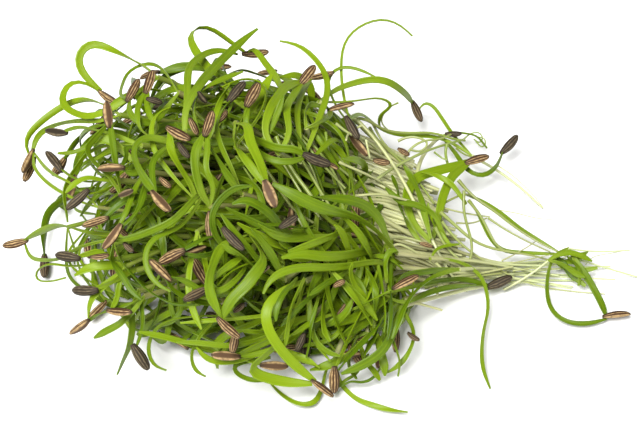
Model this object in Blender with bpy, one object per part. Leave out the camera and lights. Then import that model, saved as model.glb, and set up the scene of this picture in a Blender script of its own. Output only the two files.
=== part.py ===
"""A cut bunch of fennel cress lying loose on a flat surface.

Each sprout has two long narrow seed leaves that often meet in a seed husk, and a pale stem. The
leafy heads make a heap on the left. Most stems end at a slanting cut edge beside it, and a few run
on through a narrow place to thin ends on the right.
"""

import math

import bmesh
import bpy
import numpy as np
from mathutils import Vector

# Real sizes, in millimetres
MM = 0.001
LEAF_THICKNESS = 0.75
LEAF_LENGTH = 30.0
HUSK_LENGTH = 6.0
HUSK_WIDTH = 2.4
STEM_WIDTH = 1.05
NECK_STUB = 3.0
HUSK_TIP_OFFSET = 0.4
CLEARANCE = 0.35
LEAST_HEIGHT = 0.05
LOWEST_STEM = 0.8

# Middle, half width, half depth and height of the leafy heap, its lower slope in front, the band
# beside it and the tail
HEAP = ((-24.0, -7.0), (42.0, 42.0, 37.0))
SLOPE = ((4.0, -22.0), (25.0, 25.0, 15.0))
BAND = ((16.0, -1.0), (32.0, 26.0, 11.5))
TAIL = ((45.0, -14.0), (28.0, 9.0, 4.0))
SHAPES = (HEAP, SLOPE, BAND, TAIL)

# The routes are given as they look from this place, in picture points
POINTS_PER_MM = 4.5
PICTURE_MIDDLE = (320.0, 215.0)
SIGHT_ELEVATION = math.radians(50.0)
SIGHT_DISTANCE = 335.0

# The stems: the ends of their slanting cut edge, the way they run at each end of it in degrees, how
# high they are stacked and how far their cut ends stand out of the core
CUT_NEAR = np.array((28.0, -19.6, 0.0))
CUT_FAR = np.array((14.7, 14.1, 0.0))
CUT_COURSES = (-10.0, -36.0)
FIELD_HEIGHT = 8.0
FIELD_PITCH = 1.7
FIELD_STEP = 1.6
CUT_REACH = 6.0
CUT_SPREAD = (3.0, 9.0)
STEM_APPROACH = 11.0

# The narrow place on the way to the thin ends: its middle, and how many stems lie side by side in
# it, how far apart and touching. The ends fan out from there, in degrees.
WAIST = (42.0, -17.5)
WAIST_ROW = 4
WAIST_PITCH = 0.6
WAIST_STEMS = 4
BESIDE_FROM = 13.3
TAIL_LENGTHS = (6.0, 9.0, 12.0, 16.0, 21.0)
TAIL_TURNS = (-16.0, 22.0)
TAIL_TAPER = 0.2

# The slim core inside the stacked stems: how wide it is, and how far under the top stems it stays
CORE_HALF_WIDTH = 1.0
CORE_SINK = 0.05
CORE_CORNERS = 7

# Nodes that are not traced: they fill the back of the heap, each with the leaves of a few sprouts
BACK_SHAPE = ((-22.0, -6.0), (38.0, 40.0, 35.0))
BACK_NODES = 9
BACK_LEAVES = 4
BACK_NECK = 0.66
BACK_FIRST_TURN = 14.0
BACK_TURN_STEP = 18.0
BACK_CLIMBS = (12.0, 42.0)
BACK_LOWEST = 2.2

# How far each kind of place is kept from the others, and how firmly it stays where it is traced
NECK_REACH = 0.75
HUSK_ROOT_REACH = 1.1
HUSK_END_REACH = 1.35
HUSK_HOLD = 0.3
LEAF_HOLD = 0.25
LEAF_END_HOLD = 0.05
STEM_HOLD = 0.2
NECK_HOLD = 0.01
LOOSE = 0.02

# The lowest place that a neck, a husk and a leaf are planned at
LOWEST_NECK = 1.6
LOWEST_HUSK = 1.5
LOWEST_LEAF = 1.2

# Half breadths of a leaf as shares of its width: at the tip, how fast it widens from there, where
# it begins to narrow towards its neck and by how much, and the least of it in millimetres
TIP_SHARE = 0.35
TIP_RISE = 3.2
FULL_TO = 0.55
BASE_THINNING = 0.62
LEAST_HALF_BREADTH = 0.36
LEAF_ROLL = 0.35

# A neck: how far it stands over the leaves' meeting place, and its radii there and below
NECK_RISE = 0.8
NECK_RADII = (0.5, 0.9, 0.5)
BACK_NECK_SCALE = 1.3

SEED = 11
HUSK_SIDES = 5
STEM_SIDES = 3
NECK_SIDES = 4
LEAF_STEP = 5.1
LEAST_LEAF_STEPS = 4
MOST_LEAF_STEPS = 8
BACK_LEAF_STEPS = 5
STEM_STEPS = 7
DEPTH_ROUNDS = 2
HUSK_SLOPE = 2.0
SETTLE_ROUNDS = 420
CLEAR_ROUNDS = 220

LEAF_GREEN = (0.20, 0.37, 0.03, 1.0)
STEM_PALE = (0.62, 0.66, 0.40, 1.0)

# Each sprout: its neck, its two seed leaves from the tip inwards with their width in millimetres,
# the husk from its attached end to its far end, and how far it lies above the heap's surface
SPROUTS = {
    "sprout_01": {
        "neck": (160, 76), "lift": 3, "dip": 3,
        "husk": ((99, 90), (118, 103)),
        "a": (1.9, ((99, 90), (90, 83), (79, 70), (77, 55), (90, 43), (108, 48), (142, 64))),
        "b": (1.7, ((99, 90), (88, 82), (72, 79), (63, 90), (64, 106), (92, 116), (130, 96))),
    },
    "sprout_02": {
        "neck": (120, 110), "lift": -1, "dip": 3,
        "husk": ((34, 158), (25, 180)),
        "a": (1.6, ((34, 158), (26, 142), (36, 126), (62, 106), (84, 98), (105, 102))),
        "b": (1.4, ((34, 158), (37, 138), (50, 127), (72, 121), (100, 118))),
    },
    "sprout_03": {
        "neck": (122, 196), "lift": 3, "dip": 6,
        "husk": ((110, 127), (107, 101)),
        "a": (1.5, ((110, 127), (113, 145), (116, 165))),
        "b": (1.6, ((110, 127), (98, 138), (88, 150), (97, 164), (110, 176))),
    },
    "sprout_04": {
        "neck": (142, 146), "lift": 1, "dip": 5,
        "husk": ((66, 133), (52, 131)),
        "a": (1.5, ((66, 133), (80, 128), (95, 130), (112, 134))),
        "b": (1.2, ((66, 222), (64, 206), (62, 192), (67, 178), (76, 165), (86, 152), (106, 145))),
    },
    "sprout_05": {
        "neck": (178, 92), "lift": 0, "dip": 5,
        "husk": ((128, 101), (137, 84)),
        "a": (1.7, ((128, 101), (128, 112), (138, 122), (156, 120))),
        "b": (0.9, ((128, 101), (121, 96), (123, 84), (130, 70), (148, 63), (163, 70))),
    },
    "sprout_06": {
        "neck": (132, 160), "lift": 2, "dip": 6,
        "husk": ((61, 171), (47, 153)),
        "a": (1.2, ((61, 171), (72, 178), (88, 182), (104, 178))),
        "b": (2.2, ((58, 153), (70, 153), (84, 149), (96, 141), (110, 140))),
    },
    "sprout_07": {
        "neck": (268, 116), "lift": 0, "dip": 4,
        "husk": ((243, 54), (274, 50)),
        "a": (2.0, ((243, 54), (228, 42), (206, 25), (188, 31), (196, 52), (220, 80), (245, 106))),
        "b": (1.7, ((243, 54), (251, 47), (264, 62), (276, 78), (282, 96))),
    },
    "sprout_08": {
        "neck": (182, 130), "lift": 2, "dip": 5,
        "husk": None,
        "a": (2.3, ((258, 29), (245, 39), (230, 53), (212, 71), (197, 88), (184, 108))),
        "b": (1.8, ((238, 55), (222, 51), (206, 55), (190, 68), (187, 92))),
    },
    "sprout_10": {
        "neck": (236, 146), "lift": 2, "dip": 5,
        "husk": None,
        "a": (2.2, ((272, 74), (262, 88), (252, 101), (243, 115), (236, 130))),
        "b": (1.2, ((222, 87), (236, 81), (252, 80), (266, 88), (262, 112))),
    },
    "sprout_11": {
        "neck": (274, 154), "lift": 3, "dip": 6,
        "husk": ((300, 84), (313, 68)),
        "a": (2.2, ((300, 84), (287, 87), (276, 99), (265, 114), (260, 136))),
        "b": (1.7, ((300, 84), (291, 97), (285, 110), (286, 134))),
    },
    "sprout_12": {
        "neck": (306, 160), "lift": 1, "dip": 6,
        "husk": ((310, 77), (323, 74)),
        "a": (1.5, ((280, 41), (298, 45), (314, 58), (326, 77), (326, 98), (319, 120), (312, 146))),
        "b": (1.5, ((310, 77), (302, 92), (298, 110), (302, 134))),
    },
    "sprout_13": {
        "neck": (208, 206), "lift": 4, "dip": 7,
        "husk": ((205, 135), (211, 117)),
        "a": (2.0, ((205, 135), (197, 150), (195, 168), (200, 192))),
        "b": (1.4, ((205, 135), (206, 152), (205, 168), (212, 188))),
    },
    "sprout_14": {
        "neck": (196, 202), "lift": 2, "dip": 7,
        "husk": ((168, 128), (190, 140)),
        "a": (1.8, ((168, 128), (171, 150), (179, 166), (190, 184))),
        "b": (1.2, ((170, 107), (158, 112), (151, 126), (154, 150), (172, 176))),
    },
    "sprout_15": {
        "neck": (243, 194), "lift": 2, "dip": 6,
        "husk": ((229, 101), (242, 85)),
        "a": (1.5, ((229, 101), (220, 112), (216, 128), (222, 148), (232, 168))),
        "b": (1.8, ((203, 138), (211, 149), (219, 161), (227, 174), (236, 186))),
    },
    "sprout_16": {
        "neck": (236, 120), "lift": 5, "dip": 6,
        "husk": ((265, 182), (275, 206)),
        "a": (2.2, ((265, 182), (261, 166), (256, 152), (252, 138), (250, 124))),
        "b": (1.8, ((265, 182), (253, 166), (243, 153), (236, 140))),
    },
    "sprout_17": {
        "neck": (244, 130), "lift": 3, "dip": 7,
        "husk": ((305, 155), (325, 163)),
        "a": (1.8, ((305, 155), (294, 148), (280, 146), (264, 140))),
        "b": (1.5, ((305, 155), (290, 160), (272, 158), (256, 148))),
    },
    "sprout_19": {
        "neck": (350, 126), "lift": 0, "dip": 2,
        "husk": None,
        "a": (0.9, ((413, 36), (400, 24), (382, 18), (358, 26), (343, 44), (341, 76), (345, 106))),
        "b": (0.8, ((378, 78), (366, 72), (350, 67), (336, 69), (328, 82), (336, 106))),
    },
    "sprout_20": {
        "neck": (324, 108), "lift": 2, "dip": 4,
        "husk": ((413, 102), (420, 117)),
        "a": (1.7, ((413, 102), (404, 92), (388, 81), (372, 79), (356, 83), (338, 91))),
        "b": (0.9, ((384, 131), (379, 125), (382, 114), (394, 105), (380, 98), (350, 104))),
    },
    "sprout_21": {
        "neck": (474, 152), "lift": 1, "dip": 1,
        "husk": ((346, 118), (359, 140)),
        "a": (1.3, ((346, 118), (362, 114), (378, 127), (394, 134), (414, 135), (440, 136), (458, 143))),
        "b": (0.9, ((419, 110), (425, 102), (434, 106), (443, 118), (455, 134))),
        "stem": ((499, 163), (520, 181), (535, 198), (543, 208)),
    },
    "sprout_22": {
        "neck": (430, 240), "lift": 2, "dip": 2,
        "husk": ((467, 163), (490, 156)),
        "a": (2.4, ((467, 163), (452, 168), (434, 172), (416, 178), (406, 196), (412, 222))),
        "b": (2.2, ((467, 163), (453, 174), (445, 190), (440, 208), (436, 226))),
    },
    "sprout_23": {
        "neck": (440, 132), "lift": 1, "dip": 1,
        "husk": ((501, 153), (513, 140)),
        "a": (1.2, ((501, 153), (495, 168), (482, 176), (468, 170), (454, 150))),
        "b": (0.9, ((487, 148), (477, 136), (465, 132), (452, 130))),
        "stem": ((424, 150), (412, 172), (414, 196), (430, 222)),
    },
    "sprout_24": {
        "neck": (562, 257), "lift": 0, "dip": 0,
        "husk": None,
        "a": (0.9, ((464, 194), (480, 200), (500, 212), (520, 228), (540, 241), (553, 250))),
        "b": (1.1, ((474, 206), (482, 222), (490, 238), (502, 250), (524, 253), (548, 255))),
        "stem": ((582, 264), (605, 271), (638, 277)),
    },
    "sprout_25": {
        "neck": (567, 250), "lift": 1, "dip": 0,
        "husk": ((604, 317), (632, 314)),
        "a": (1.7, ((604, 317), (600, 303), (593, 288), (586, 276), (576, 262))),
        "b": (1.2, ((604, 317), (584, 323), (562, 320), (548, 304), (547, 276), (554, 256))),
        "stem": ((590, 255), (610, 253), (630, 250)),
    },
    "sprout_26": {
        "neck": (546, 262), "lift": 1, "dip": 0,
        "husk": None,
        "a": (1.3, ((592, 262), (580, 257), (568, 254), (556, 256))),
        "b": (1.4, ((584, 277), (574, 273), (565, 267), (556, 263))),
        "stem": ((532, 276), (518, 284), (502, 290)),
    },
    "sprout_27": {
        "neck": (382, 296), "lift": 1, "dip": 3,
        "husk": ((488, 287), (511, 277)),
        "a": (1.3, ((488, 287), (466, 286), (444, 288), (424, 295), (402, 305))),
        "b": (1.2, ((488, 287), (462, 280), (436, 282), (412, 288))),
    },
    "sprout_28": {
        "neck": (424, 258), "lift": 2, "dip": 2,
        "husk": None,
        "a": (1.2, ((489, 387), (481, 363), (482, 330), (487, 305), (480, 276), (458, 262), (440, 259))),
        "b": (0.9, ((459, 244), (446, 246), (434, 250))),
    },
    "sprout_29": {
        "neck": (130, 237), "lift": 1, "dip": 6,
        "husk": ((26, 241), (1, 246)),
        "a": (2.1, ((26, 241), (40, 232), (53, 226), (66, 226), (82, 232), (106, 236))),
        "b": (1.1, ((26, 241), (30, 256), (42, 260), (60, 259), (76, 248), (100, 242))),
    },
    "sprout_30": {
        "neck": (116, 258), "lift": 1, "dip": 6,
        "husk": ((80, 258), (66, 256)),
        "a": (0.9, ((66, 278), (50, 282), (36, 280), (38, 269), (52, 263), (72, 265), (96, 262))),
        "b": (1.4, ((80, 258), (90, 254), (100, 252))),
    },
    "sprout_31": {
        "neck": (122, 186), "lift": 3, "dip": 6,
        "husk": ((87, 190), (73, 203)),
        "a": (1.5, ((66, 192), (76, 184), (90, 180), (106, 184))),
        "b": (1.3, ((87, 190), (97, 192), (108, 190))),
    },
    "sprout_33": {
        "neck": (146, 172), "lift": 4, "dip": 7,
        "husk": ((120, 225), (107, 243)),
        "a": (1.2, ((120, 225), (126, 214), (130, 202), (136, 186))),
        "b": (1.5, ((120, 225), (132, 216), (139, 206), (144, 190))),
    },
    "sprout_34": {
        "neck": (210, 192), "lift": 3, "dip": 7,
        "husk": None,
        "a": (1.6, ((112, 241), (132, 238), (152, 231), (172, 222), (188, 208), (200, 196))),
        "b": (1.2, ((172, 291), (158, 284), (149, 272), (145, 256), (154, 238), (184, 224))),
    },
    "sprout_35": {
        "neck": (116, 236), "lift": 1, "dip": 6,
        "husk": None,
        "a": (1.4, ((141, 300), (131, 290), (122, 275), (113, 258))),
        "b": (1.1, ((196, 304), (178, 305), (160, 298), (144, 287), (131, 272), (120, 256))),
    },
    "sprout_37": {
        "neck": (220, 304), "lift": 1, "dip": 7,
        "husk": ((170, 280), (157, 267)),
        "a": (1.6, ((170, 280), (176, 291), (190, 299), (206, 304))),
        "b": (1.4, ((170, 280), (184, 282), (198, 290), (210, 298))),
    },
    "sprout_39": {
        "neck": (174, 148), "lift": 4, "dip": 6,
        "husk": ((153, 192), (168, 209)),
        "a": (2.2, ((153, 192), (142, 175), (134, 154), (142, 140), (160, 141))),
        "b": (1.4, ((153, 192), (150, 176), (152, 162), (162, 152))),
    },
    "sprout_41": {
        "neck": (136, 268), "lift": 1, "dip": 7,
        "husk": ((97, 290), (82, 290)),
        "a": (2.0, ((75, 275), (86, 268), (99, 264), (116, 263))),
        "b": (1.7, ((97, 290), (108, 284), (118, 278), (126, 272))),
    },
    "sprout_42": {
        "neck": (388, 252), "lift": 4, "dip": 6,
        "husk": None,
        "a": (2.7, ((273, 184), (291, 193), (310, 203), (331, 210), (354, 216), (374, 230))),
        "b": (2.2, ((298, 194), (320, 198), (345, 200), (364, 206), (377, 220), (381, 236))),
    },
    "sprout_43": {
        "neck": (386, 244), "lift": 3, "dip": 7,
        "husk": None,
        "a": (2.0, ((288, 252), (310, 245), (331, 237), (352, 229), (370, 232))),
        "b": (2.2, ((280, 258), (300, 254), (322, 257), (345, 256), (368, 250))),
    },
    "sprout_44": {
        "neck": (396, 268), "lift": 2, "dip": 6,
        "husk": None,
        "a": (1.8, ((263, 294), (268, 281), (281, 272), (300, 267), (322, 267), (346, 266), (376, 262))),
        "b": (1.8, ((350, 206), (361, 222), (370, 238), (379, 252))),
    },
    "sprout_45": {
        "neck": (296, 240), "lift": 3, "dip": 7,
        "husk": None,
        "a": (1.8, ((225, 207), (237, 214), (251, 221), (266, 228), (282, 236))),
        "b": (2.2, ((232, 204), (245, 200), (258, 205), (270, 214), (281, 227))),
    },
    "sprout_46": {
        "neck": (286, 280), "lift": 2, "dip": 6,
        "husk": None,
        "a": (1.8, ((250, 227), (256, 240), (263, 252), (273, 266))),
        "b": (1.7, ((221, 214), (232, 226), (244, 238), (256, 250), (268, 266))),
    },
    "sprout_48": {
        "neck": (448, 266), "lift": 4, "dip": 1,
        "husk": ((393, 291), (409, 281)),
        "a": (1.8, ((393, 291), (398, 278), (412, 272), (430, 268))),
        "b": (1.8, ((391, 340), (397, 322), (402, 305), (410, 290), (422, 276), (438, 268))),
    },
    "sprout_49": {
        "neck": (328, 258), "lift": 1, "dip": 8,
        "husk": None,
        "a": (1.6, ((378, 321), (369, 308), (357, 295), (344, 283), (333, 272))),
        "b": (1.8, ((347, 346), (339, 328), (333, 310), (329, 292), (328, 276))),
    },
    "sprout_50": {
        "neck": (248, 236), "lift": 4, "dip": 7,
        "husk": ((219, 318), (236, 334)),
        "a": (2.1, ((219, 318), (211, 300), (208, 284), (212, 267), (222, 247))),
        "b": (2.5, ((219, 318), (230, 299), (244, 286), (256, 272), (264, 258))),
    },
    "sprout_51": {
        "neck": (308, 314), "lift": 2, "dip": 7,
        "husk": ((238, 357), (217, 356)),
        "a": (2.0, ((238, 357), (253, 350), (268, 342), (281, 332), (294, 320))),
        "b": (1.4, ((238, 357), (250, 357), (266, 352), (282, 344), (298, 330))),
    },
    "sprout_52": {
        "neck": (308, 280), "lift": 3, "dip": 7,
        "husk": ((312, 380), (334, 396)),
        "a": (2.2, ((312, 380), (294, 364), (277, 344), (266, 322), (269, 302), (290, 286))),
        "b": (2.4, ((312, 380), (288, 380), (262, 375), (250, 367), (268, 353), (290, 326))),
    },
    "sprout_53": {
        "neck": (336, 356), "lift": 1, "dip": 4,
        "husk": None,
        "a": (1.2, ((271, 384), (282, 395), (298, 404), (314, 403), (322, 388), (326, 370))),
        "b": (1.3, ((408, 412), (390, 410), (372, 405), (356, 399), (342, 386), (336, 372))),
    },
    "sprout_54": {
        "neck": (400, 296), "lift": 3, "dip": 6,
        "husk": None,
        "a": (2.6, ((338, 371), (350, 356), (364, 341), (377, 327), (390, 311))),
        "b": (2.1, ((341, 374), (356, 368), (371, 360), (383, 349), (391, 333), (397, 314))),
    },
    "sprout_55": {
        "neck": (398, 306), "lift": 1, "dip": 5,
        "husk": None,
        "a": (2.0, ((398, 376), (400, 362), (396, 348), (391, 334), (392, 318))),
        "b": (1.2, ((385, 374), (398, 366), (409, 352), (414, 334), (408, 318))),
    },
    "sprout_56": {
        "neck": (144, 296), "lift": 1, "dip": 6,
        "husk": ((88, 321), (76, 330)),
        "a": (1.3, ((88, 321), (98, 314), (112, 309), (128, 304))),
        "b": (1.6, ((94, 338), (106, 331), (119, 324), (132, 312))),
    },
    "sprout_57": {
        "neck": (138, 290), "lift": 0, "dip": 6,
        "husk": ((133, 346), (141, 358)),
        "a": (1.8, ((117, 375), (123, 361), (129, 347), (132, 330), (132, 308))),
        "b": (1.3, ((133, 346), (140, 332), (142, 316))),
    },
}


def unit(vectors):
    """Vectors of length one along the last axis."""
    lengths = np.linalg.norm(vectors, axis=-1, keepdims=True)
    return vectors / np.maximum(lengths, 1e-9)


ACROSS = np.array((1.0, 0.0, 0.0))
UP_PICTURE = np.array((0.0, math.sin(SIGHT_ELEVATION), math.cos(SIGHT_ELEVATION)))
TO_VIEWER = np.array((0.0, -math.cos(SIGHT_ELEVATION), math.sin(SIGHT_ELEVATION)))


def along_sight(point, nearness):
    """The places seen at a picture point, for each nearness to the viewer in millimetres."""
    u = (point[0] - PICTURE_MIDDLE[0]) / POINTS_PER_MM
    v = (PICTURE_MIDDLE[1] - point[1]) / POINTS_PER_MM
    nearness = np.asarray(nearness, float)[..., None]
    in_plane = (u * ACROSS + v * UP_PICTURE) * (1.0 - nearness / SIGHT_DISTANCE)
    return in_plane + nearness * TO_VIEWER


def fullness(places):
    """Under 1 inside the heap, its slope, the band or the tail, and more outside them all."""
    found = []
    for (x, y), (rx, ry, rz) in SHAPES:
        scaled = (places - np.array((x, y, 0.0))) / np.array((rx, ry, rz))
        found.append(np.linalg.norm(scaled, axis=-1))
    return np.min(found, axis=0)


def nearness_on_heap(point, lift):
    """How near the viewer the sight line of a picture point meets the bunch, moved nearer by lift."""
    steps = np.arange(-70.0, 70.0, 0.5)
    full = fullness(along_sight(point, steps))
    inside = np.nonzero(full <= 1.0)[0]
    found = inside[-1] if len(inside) else np.argmin(full)
    return steps[found] + lift


def at_nearness(point, nearness, least_height):
    """The place of a picture point at some nearness, or nearer where it would be too low."""
    place = along_sight(point, nearness)
    if place[2] < least_height:
        place = along_sight(point, nearness + (least_height - place[2]) / TO_VIEWER[2])
    return place


def on_heap(point, lift, least_height):
    """The place where the sight line of a picture point meets the bunch, moved nearer by lift."""
    return at_nearness(point, nearness_on_heap(point, lift), least_height)


def even_depths(depths, joined):
    """Depths along a leaf with their jumps evened out. The neck's stays, and a joined tip's too."""
    depths = np.array(depths, float)
    for _ in range(DEPTH_ROUNDS):
        calm = depths.copy()
        calm[1:-1] = 0.25 * depths[:-2] + 0.5 * depths[1:-1] + 0.25 * depths[2:]
        if not joined:
            calm[0] = 0.5 * (depths[0] + depths[1])
        depths = calm
    return depths


def smooth_route(knots, count):
    """Evenly spaced places on a smooth curve through the knots."""
    knots = np.asarray(knots, float)
    ends = np.vstack((2 * knots[0] - knots[1], knots, 2 * knots[-1] - knots[-2]))
    dense = []
    for k in range(len(knots) - 1):
        p0, p1, p2, p3 = ends[k:k + 4]
        for t in np.linspace(0.0, 1.0, 12, endpoint=False):
            dense.append(
                0.5 * (
                    2 * p1 + (p2 - p0) * t
                    + (2 * p0 - 5 * p1 + 4 * p2 - p3) * t * t
                    + (3 * p1 - p0 - 3 * p2 + p3) * t ** 3
                )
            )
    dense.append(knots[-1])
    dense = np.array(dense)
    walked = np.concatenate(((0.0,), np.cumsum(np.linalg.norm(np.diff(dense, axis=0), axis=1))))
    wanted = np.linspace(0.0, walked[-1], count)
    return np.stack([np.interp(wanted, walked, dense[:, k]) for k in range(3)], axis=1)


def leaf_breadth(share, width):
    """Half the width of a seed leaf, where share runs from 0 at the tip to 1 at the neck."""
    full = 0.5 * width
    tip = min(1.0, TIP_SHARE + TIP_RISE * share)
    base = 1.0 if share < FULL_TO else 1.0 - BASE_THINNING * (share - FULL_TO) / (1.0 - FULL_TO)
    return max(full * tip * base, LEAST_HALF_BREADTH)


class Bunch:
    """All the sprouts as chains of places that settle clear of each other."""

    def __init__(self):
        self.places = []
        self.reach = []
        self.pull = []
        self.fixed = []
        self.runs = {}

    def add(self, place, reach, pull=0.0, fixed=False):
        self.places.append(np.array(place, float))
        self.reach.append(reach)
        self.pull.append(pull)
        self.fixed.append(fixed)
        return len(self.places) - 1

    def run(self, name, kind, indices, width=0.0):
        self.runs[name] = {"kind": kind, "indices": indices, "width": width}


def plan_sprout(bunch, name, sprout):
    """Adds one traced sprout's neck, seed leaves and husk."""
    neck_depth = nearness_on_heap(sprout["neck"], sprout["lift"] - sprout["dip"])
    neck = at_nearness(sprout["neck"], neck_depth, LOWEST_NECK)
    neck_index = bunch.add(neck, NECK_REACH, NECK_HOLD)
    husk_root = None
    if sprout["husk"]:
        near, far = sprout["husk"]
        near_depth = nearness_on_heap(near, sprout["lift"] + 0.5)
        far_depth = nearness_on_heap(far, sprout["lift"] + 1.0)
        far_depth = min(max(far_depth, near_depth - HUSK_SLOPE), near_depth + HUSK_SLOPE)
        root = at_nearness(near, near_depth, LOWEST_HUSK)
        end = at_nearness(far, far_depth, LOWEST_HUSK)
        husk_root = bunch.add(root, HUSK_ROOT_REACH, HUSK_HOLD)
        husk_end = bunch.add(root + HUSK_LENGTH * unit(end - root), HUSK_END_REACH, HUSK_HOLD)
        bunch.run(name + ".husk", "husk", [husk_root, husk_end])
    for key in ("a", "b"):
        width, points = sprout[key]
        count = len(points)
        joined = bool(sprout["husk"]) and points[0] == sprout["husk"][0]
        depths = []
        for k, point in enumerate(points):
            sink = max(0.0, (k - (count - 3)) / 3.0) * sprout["dip"] * 0.5
            depths.append(nearness_on_heap(point, sprout["lift"] - sink))
        depths = even_depths(depths + [neck_depth], joined)
        knots = [at_nearness(point, depth, LOWEST_LEAF) for point, depth in zip(points, depths)]
        knots.append(neck)
        steps = round(route_length(knots) / LEAF_STEP)
        steps = max(LEAST_LEAF_STEPS, min(MOST_LEAF_STEPS, steps))
        route = smooth_route(knots, steps + 1)
        indices = [husk_root] if joined else []
        for k in range(len(indices), steps):
            half = leaf_breadth(k / steps, width)
            hold = LEAF_HOLD if k < steps - 2 else LEAF_END_HOLD
            indices.append(bunch.add(route[k], half + 0.5 * CLEARANCE, hold))
        indices.append(neck_index)
        bunch.run(name + "." + key, "leaf", indices, width)
    return neck_index


def route_length(knots):
    """The length of straight runs from knot to knot."""
    return float(np.sum(np.linalg.norm(np.diff(np.asarray(knots), axis=0), axis=1)))


def held_in(place, shape, most):
    """A place moved inside a share of a shape, and above the floor."""
    (x, y), size = shape
    middle = np.array((x, y, 0.0))
    over = np.linalg.norm((place - middle) / np.array(size)) / most
    if over > 1.0:
        place = middle + (place - middle) / over
    place[2] = max(place[2], BACK_LOWEST)
    return place


def plan_back(bunch, name, turn, climb, draw):
    """Adds an untraced node: seed leaves of a few sprouts that spread from one place."""
    (x, y), size = BACK_SHAPE
    outward = np.array((math.cos(turn) * math.cos(climb), math.sin(turn) * math.cos(climb), math.sin(climb)))
    neck = np.array((x, y, 0.0)) + BACK_NECK * outward * np.array(size)
    neck[2] = max(neck[2], 2.0)
    neck_index = bunch.add(neck, NECK_REACH, LOOSE)
    side = unit(np.cross(outward, (0.0, 0.0, 1.0)))
    up = np.cross(side, outward)
    for k in range(BACK_LEAVES):
        angle = 2.0 * math.pi * (k + draw.uniform(-0.25, 0.25)) / BACK_LEAVES
        along = math.cos(angle) * side + math.sin(angle) * up
        bend = draw.uniform(0.25, 0.75)
        knots = [neck, neck + 0.3 * LEAF_LENGTH * unit(outward + 0.7 * along)]
        knots.append(knots[-1] + 0.35 * LEAF_LENGTH * unit(bend * outward + along))
        knots.append(knots[-1] + 0.35 * LEAF_LENGTH * unit(along - 0.5 * outward))
        knots = [held_in(knot.copy(), BACK_SHAPE, 1.0) for knot in knots]
        route = smooth_route(knots[::-1], BACK_LEAF_STEPS + 1)
        width = draw.uniform(1.8, 2.3)
        indices = []
        for step in range(BACK_LEAF_STEPS):
            half = leaf_breadth(step / BACK_LEAF_STEPS, width)
            indices.append(bunch.add(route[step], half + 0.5 * CLEARANCE, LOOSE))
        indices.append(neck_index)
        bunch.run(f"{name}.{k}", "leaf", indices, width)
        if k % 2 == 0:
            root = indices[0]
            tip = bunch.places[root] + HUSK_LENGTH * unit(route[0] - route[1])
            tip[2] = max(tip[2], LOWEST_HUSK)
            husk_end = bunch.add(tip, HUSK_END_REACH, LOOSE)
            bunch.reach[root] = HUSK_ROOT_REACH
            bunch.run(f"{name}.husk{k}", "husk", [root, husk_end])
    return neck_index


def stem_course(share):
    """The way the stems run, where share runs from 0 to 1 along the cut edge."""
    angle = math.radians(CUT_COURSES[0] + share * (CUT_COURSES[1] - CUT_COURSES[0]))
    return np.array((math.cos(angle), math.sin(angle), 0.0))


def field_columns(count):
    """For each column of stems along the cut edge: its share of the way, and how many it holds."""
    edge = CUT_FAR - CUT_NEAR
    slant = abs(np.cross(stem_course(0.5), unit(edge))[2])
    columns = int(np.linalg.norm(edge) * slant / FIELD_PITCH)
    shares = (np.arange(columns) + 0.5) / columns
    room = 1.0 + FIELD_HEIGHT * np.sqrt(1.0 - (2.0 * shares - 1.0) ** 2)
    ends = np.rint(np.cumsum(room) / room.sum() * count).astype(int)
    return list(zip(shares, np.diff(ends, prepend=0)))


def field_seat(share, row):
    """A place in the stack, where share runs from 0 to 1 along the cut edge."""
    foot = CUT_NEAR + share * (CUT_FAR - CUT_NEAR) - CUT_REACH * stem_course(share)
    return foot + np.array((0.0, 0.0, LOWEST_STEM + FIELD_STEP * row))


def field_seats(starts):
    """A place and a way in the stack for each stem: near ones stay near and low ones stay low."""
    order = list(np.argsort(starts @ (CUT_FAR - CUT_NEAR), kind="stable"))
    seats = {}
    for share, held in field_columns(len(starts)):
        members = sorted(order[:held], key=lambda k: starts[k, 2])
        order = order[held:]
        for row, k in enumerate(members):
            seats[k] = (field_seat(share, row), stem_course(share))
    return seats


def waist_seats(starts):
    """A place in the narrow place for each stem that goes on through it."""
    x, y = WAIST
    order = list(np.argsort(starts[:, 2], kind="stable"))
    seats = {}
    row = 0
    while order:
        members = sorted(order[:WAIST_ROW], key=lambda k: starts[k, 1])
        order = order[WAIST_ROW:]
        for column, k in enumerate(members):
            aside = WAIST_PITCH * (column - 0.5 * (len(members) - 1))
            seats[k] = np.array((x, y + aside, LOWEST_STEM + WAIST_PITCH * row))
        row += 1
    return seats


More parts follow.
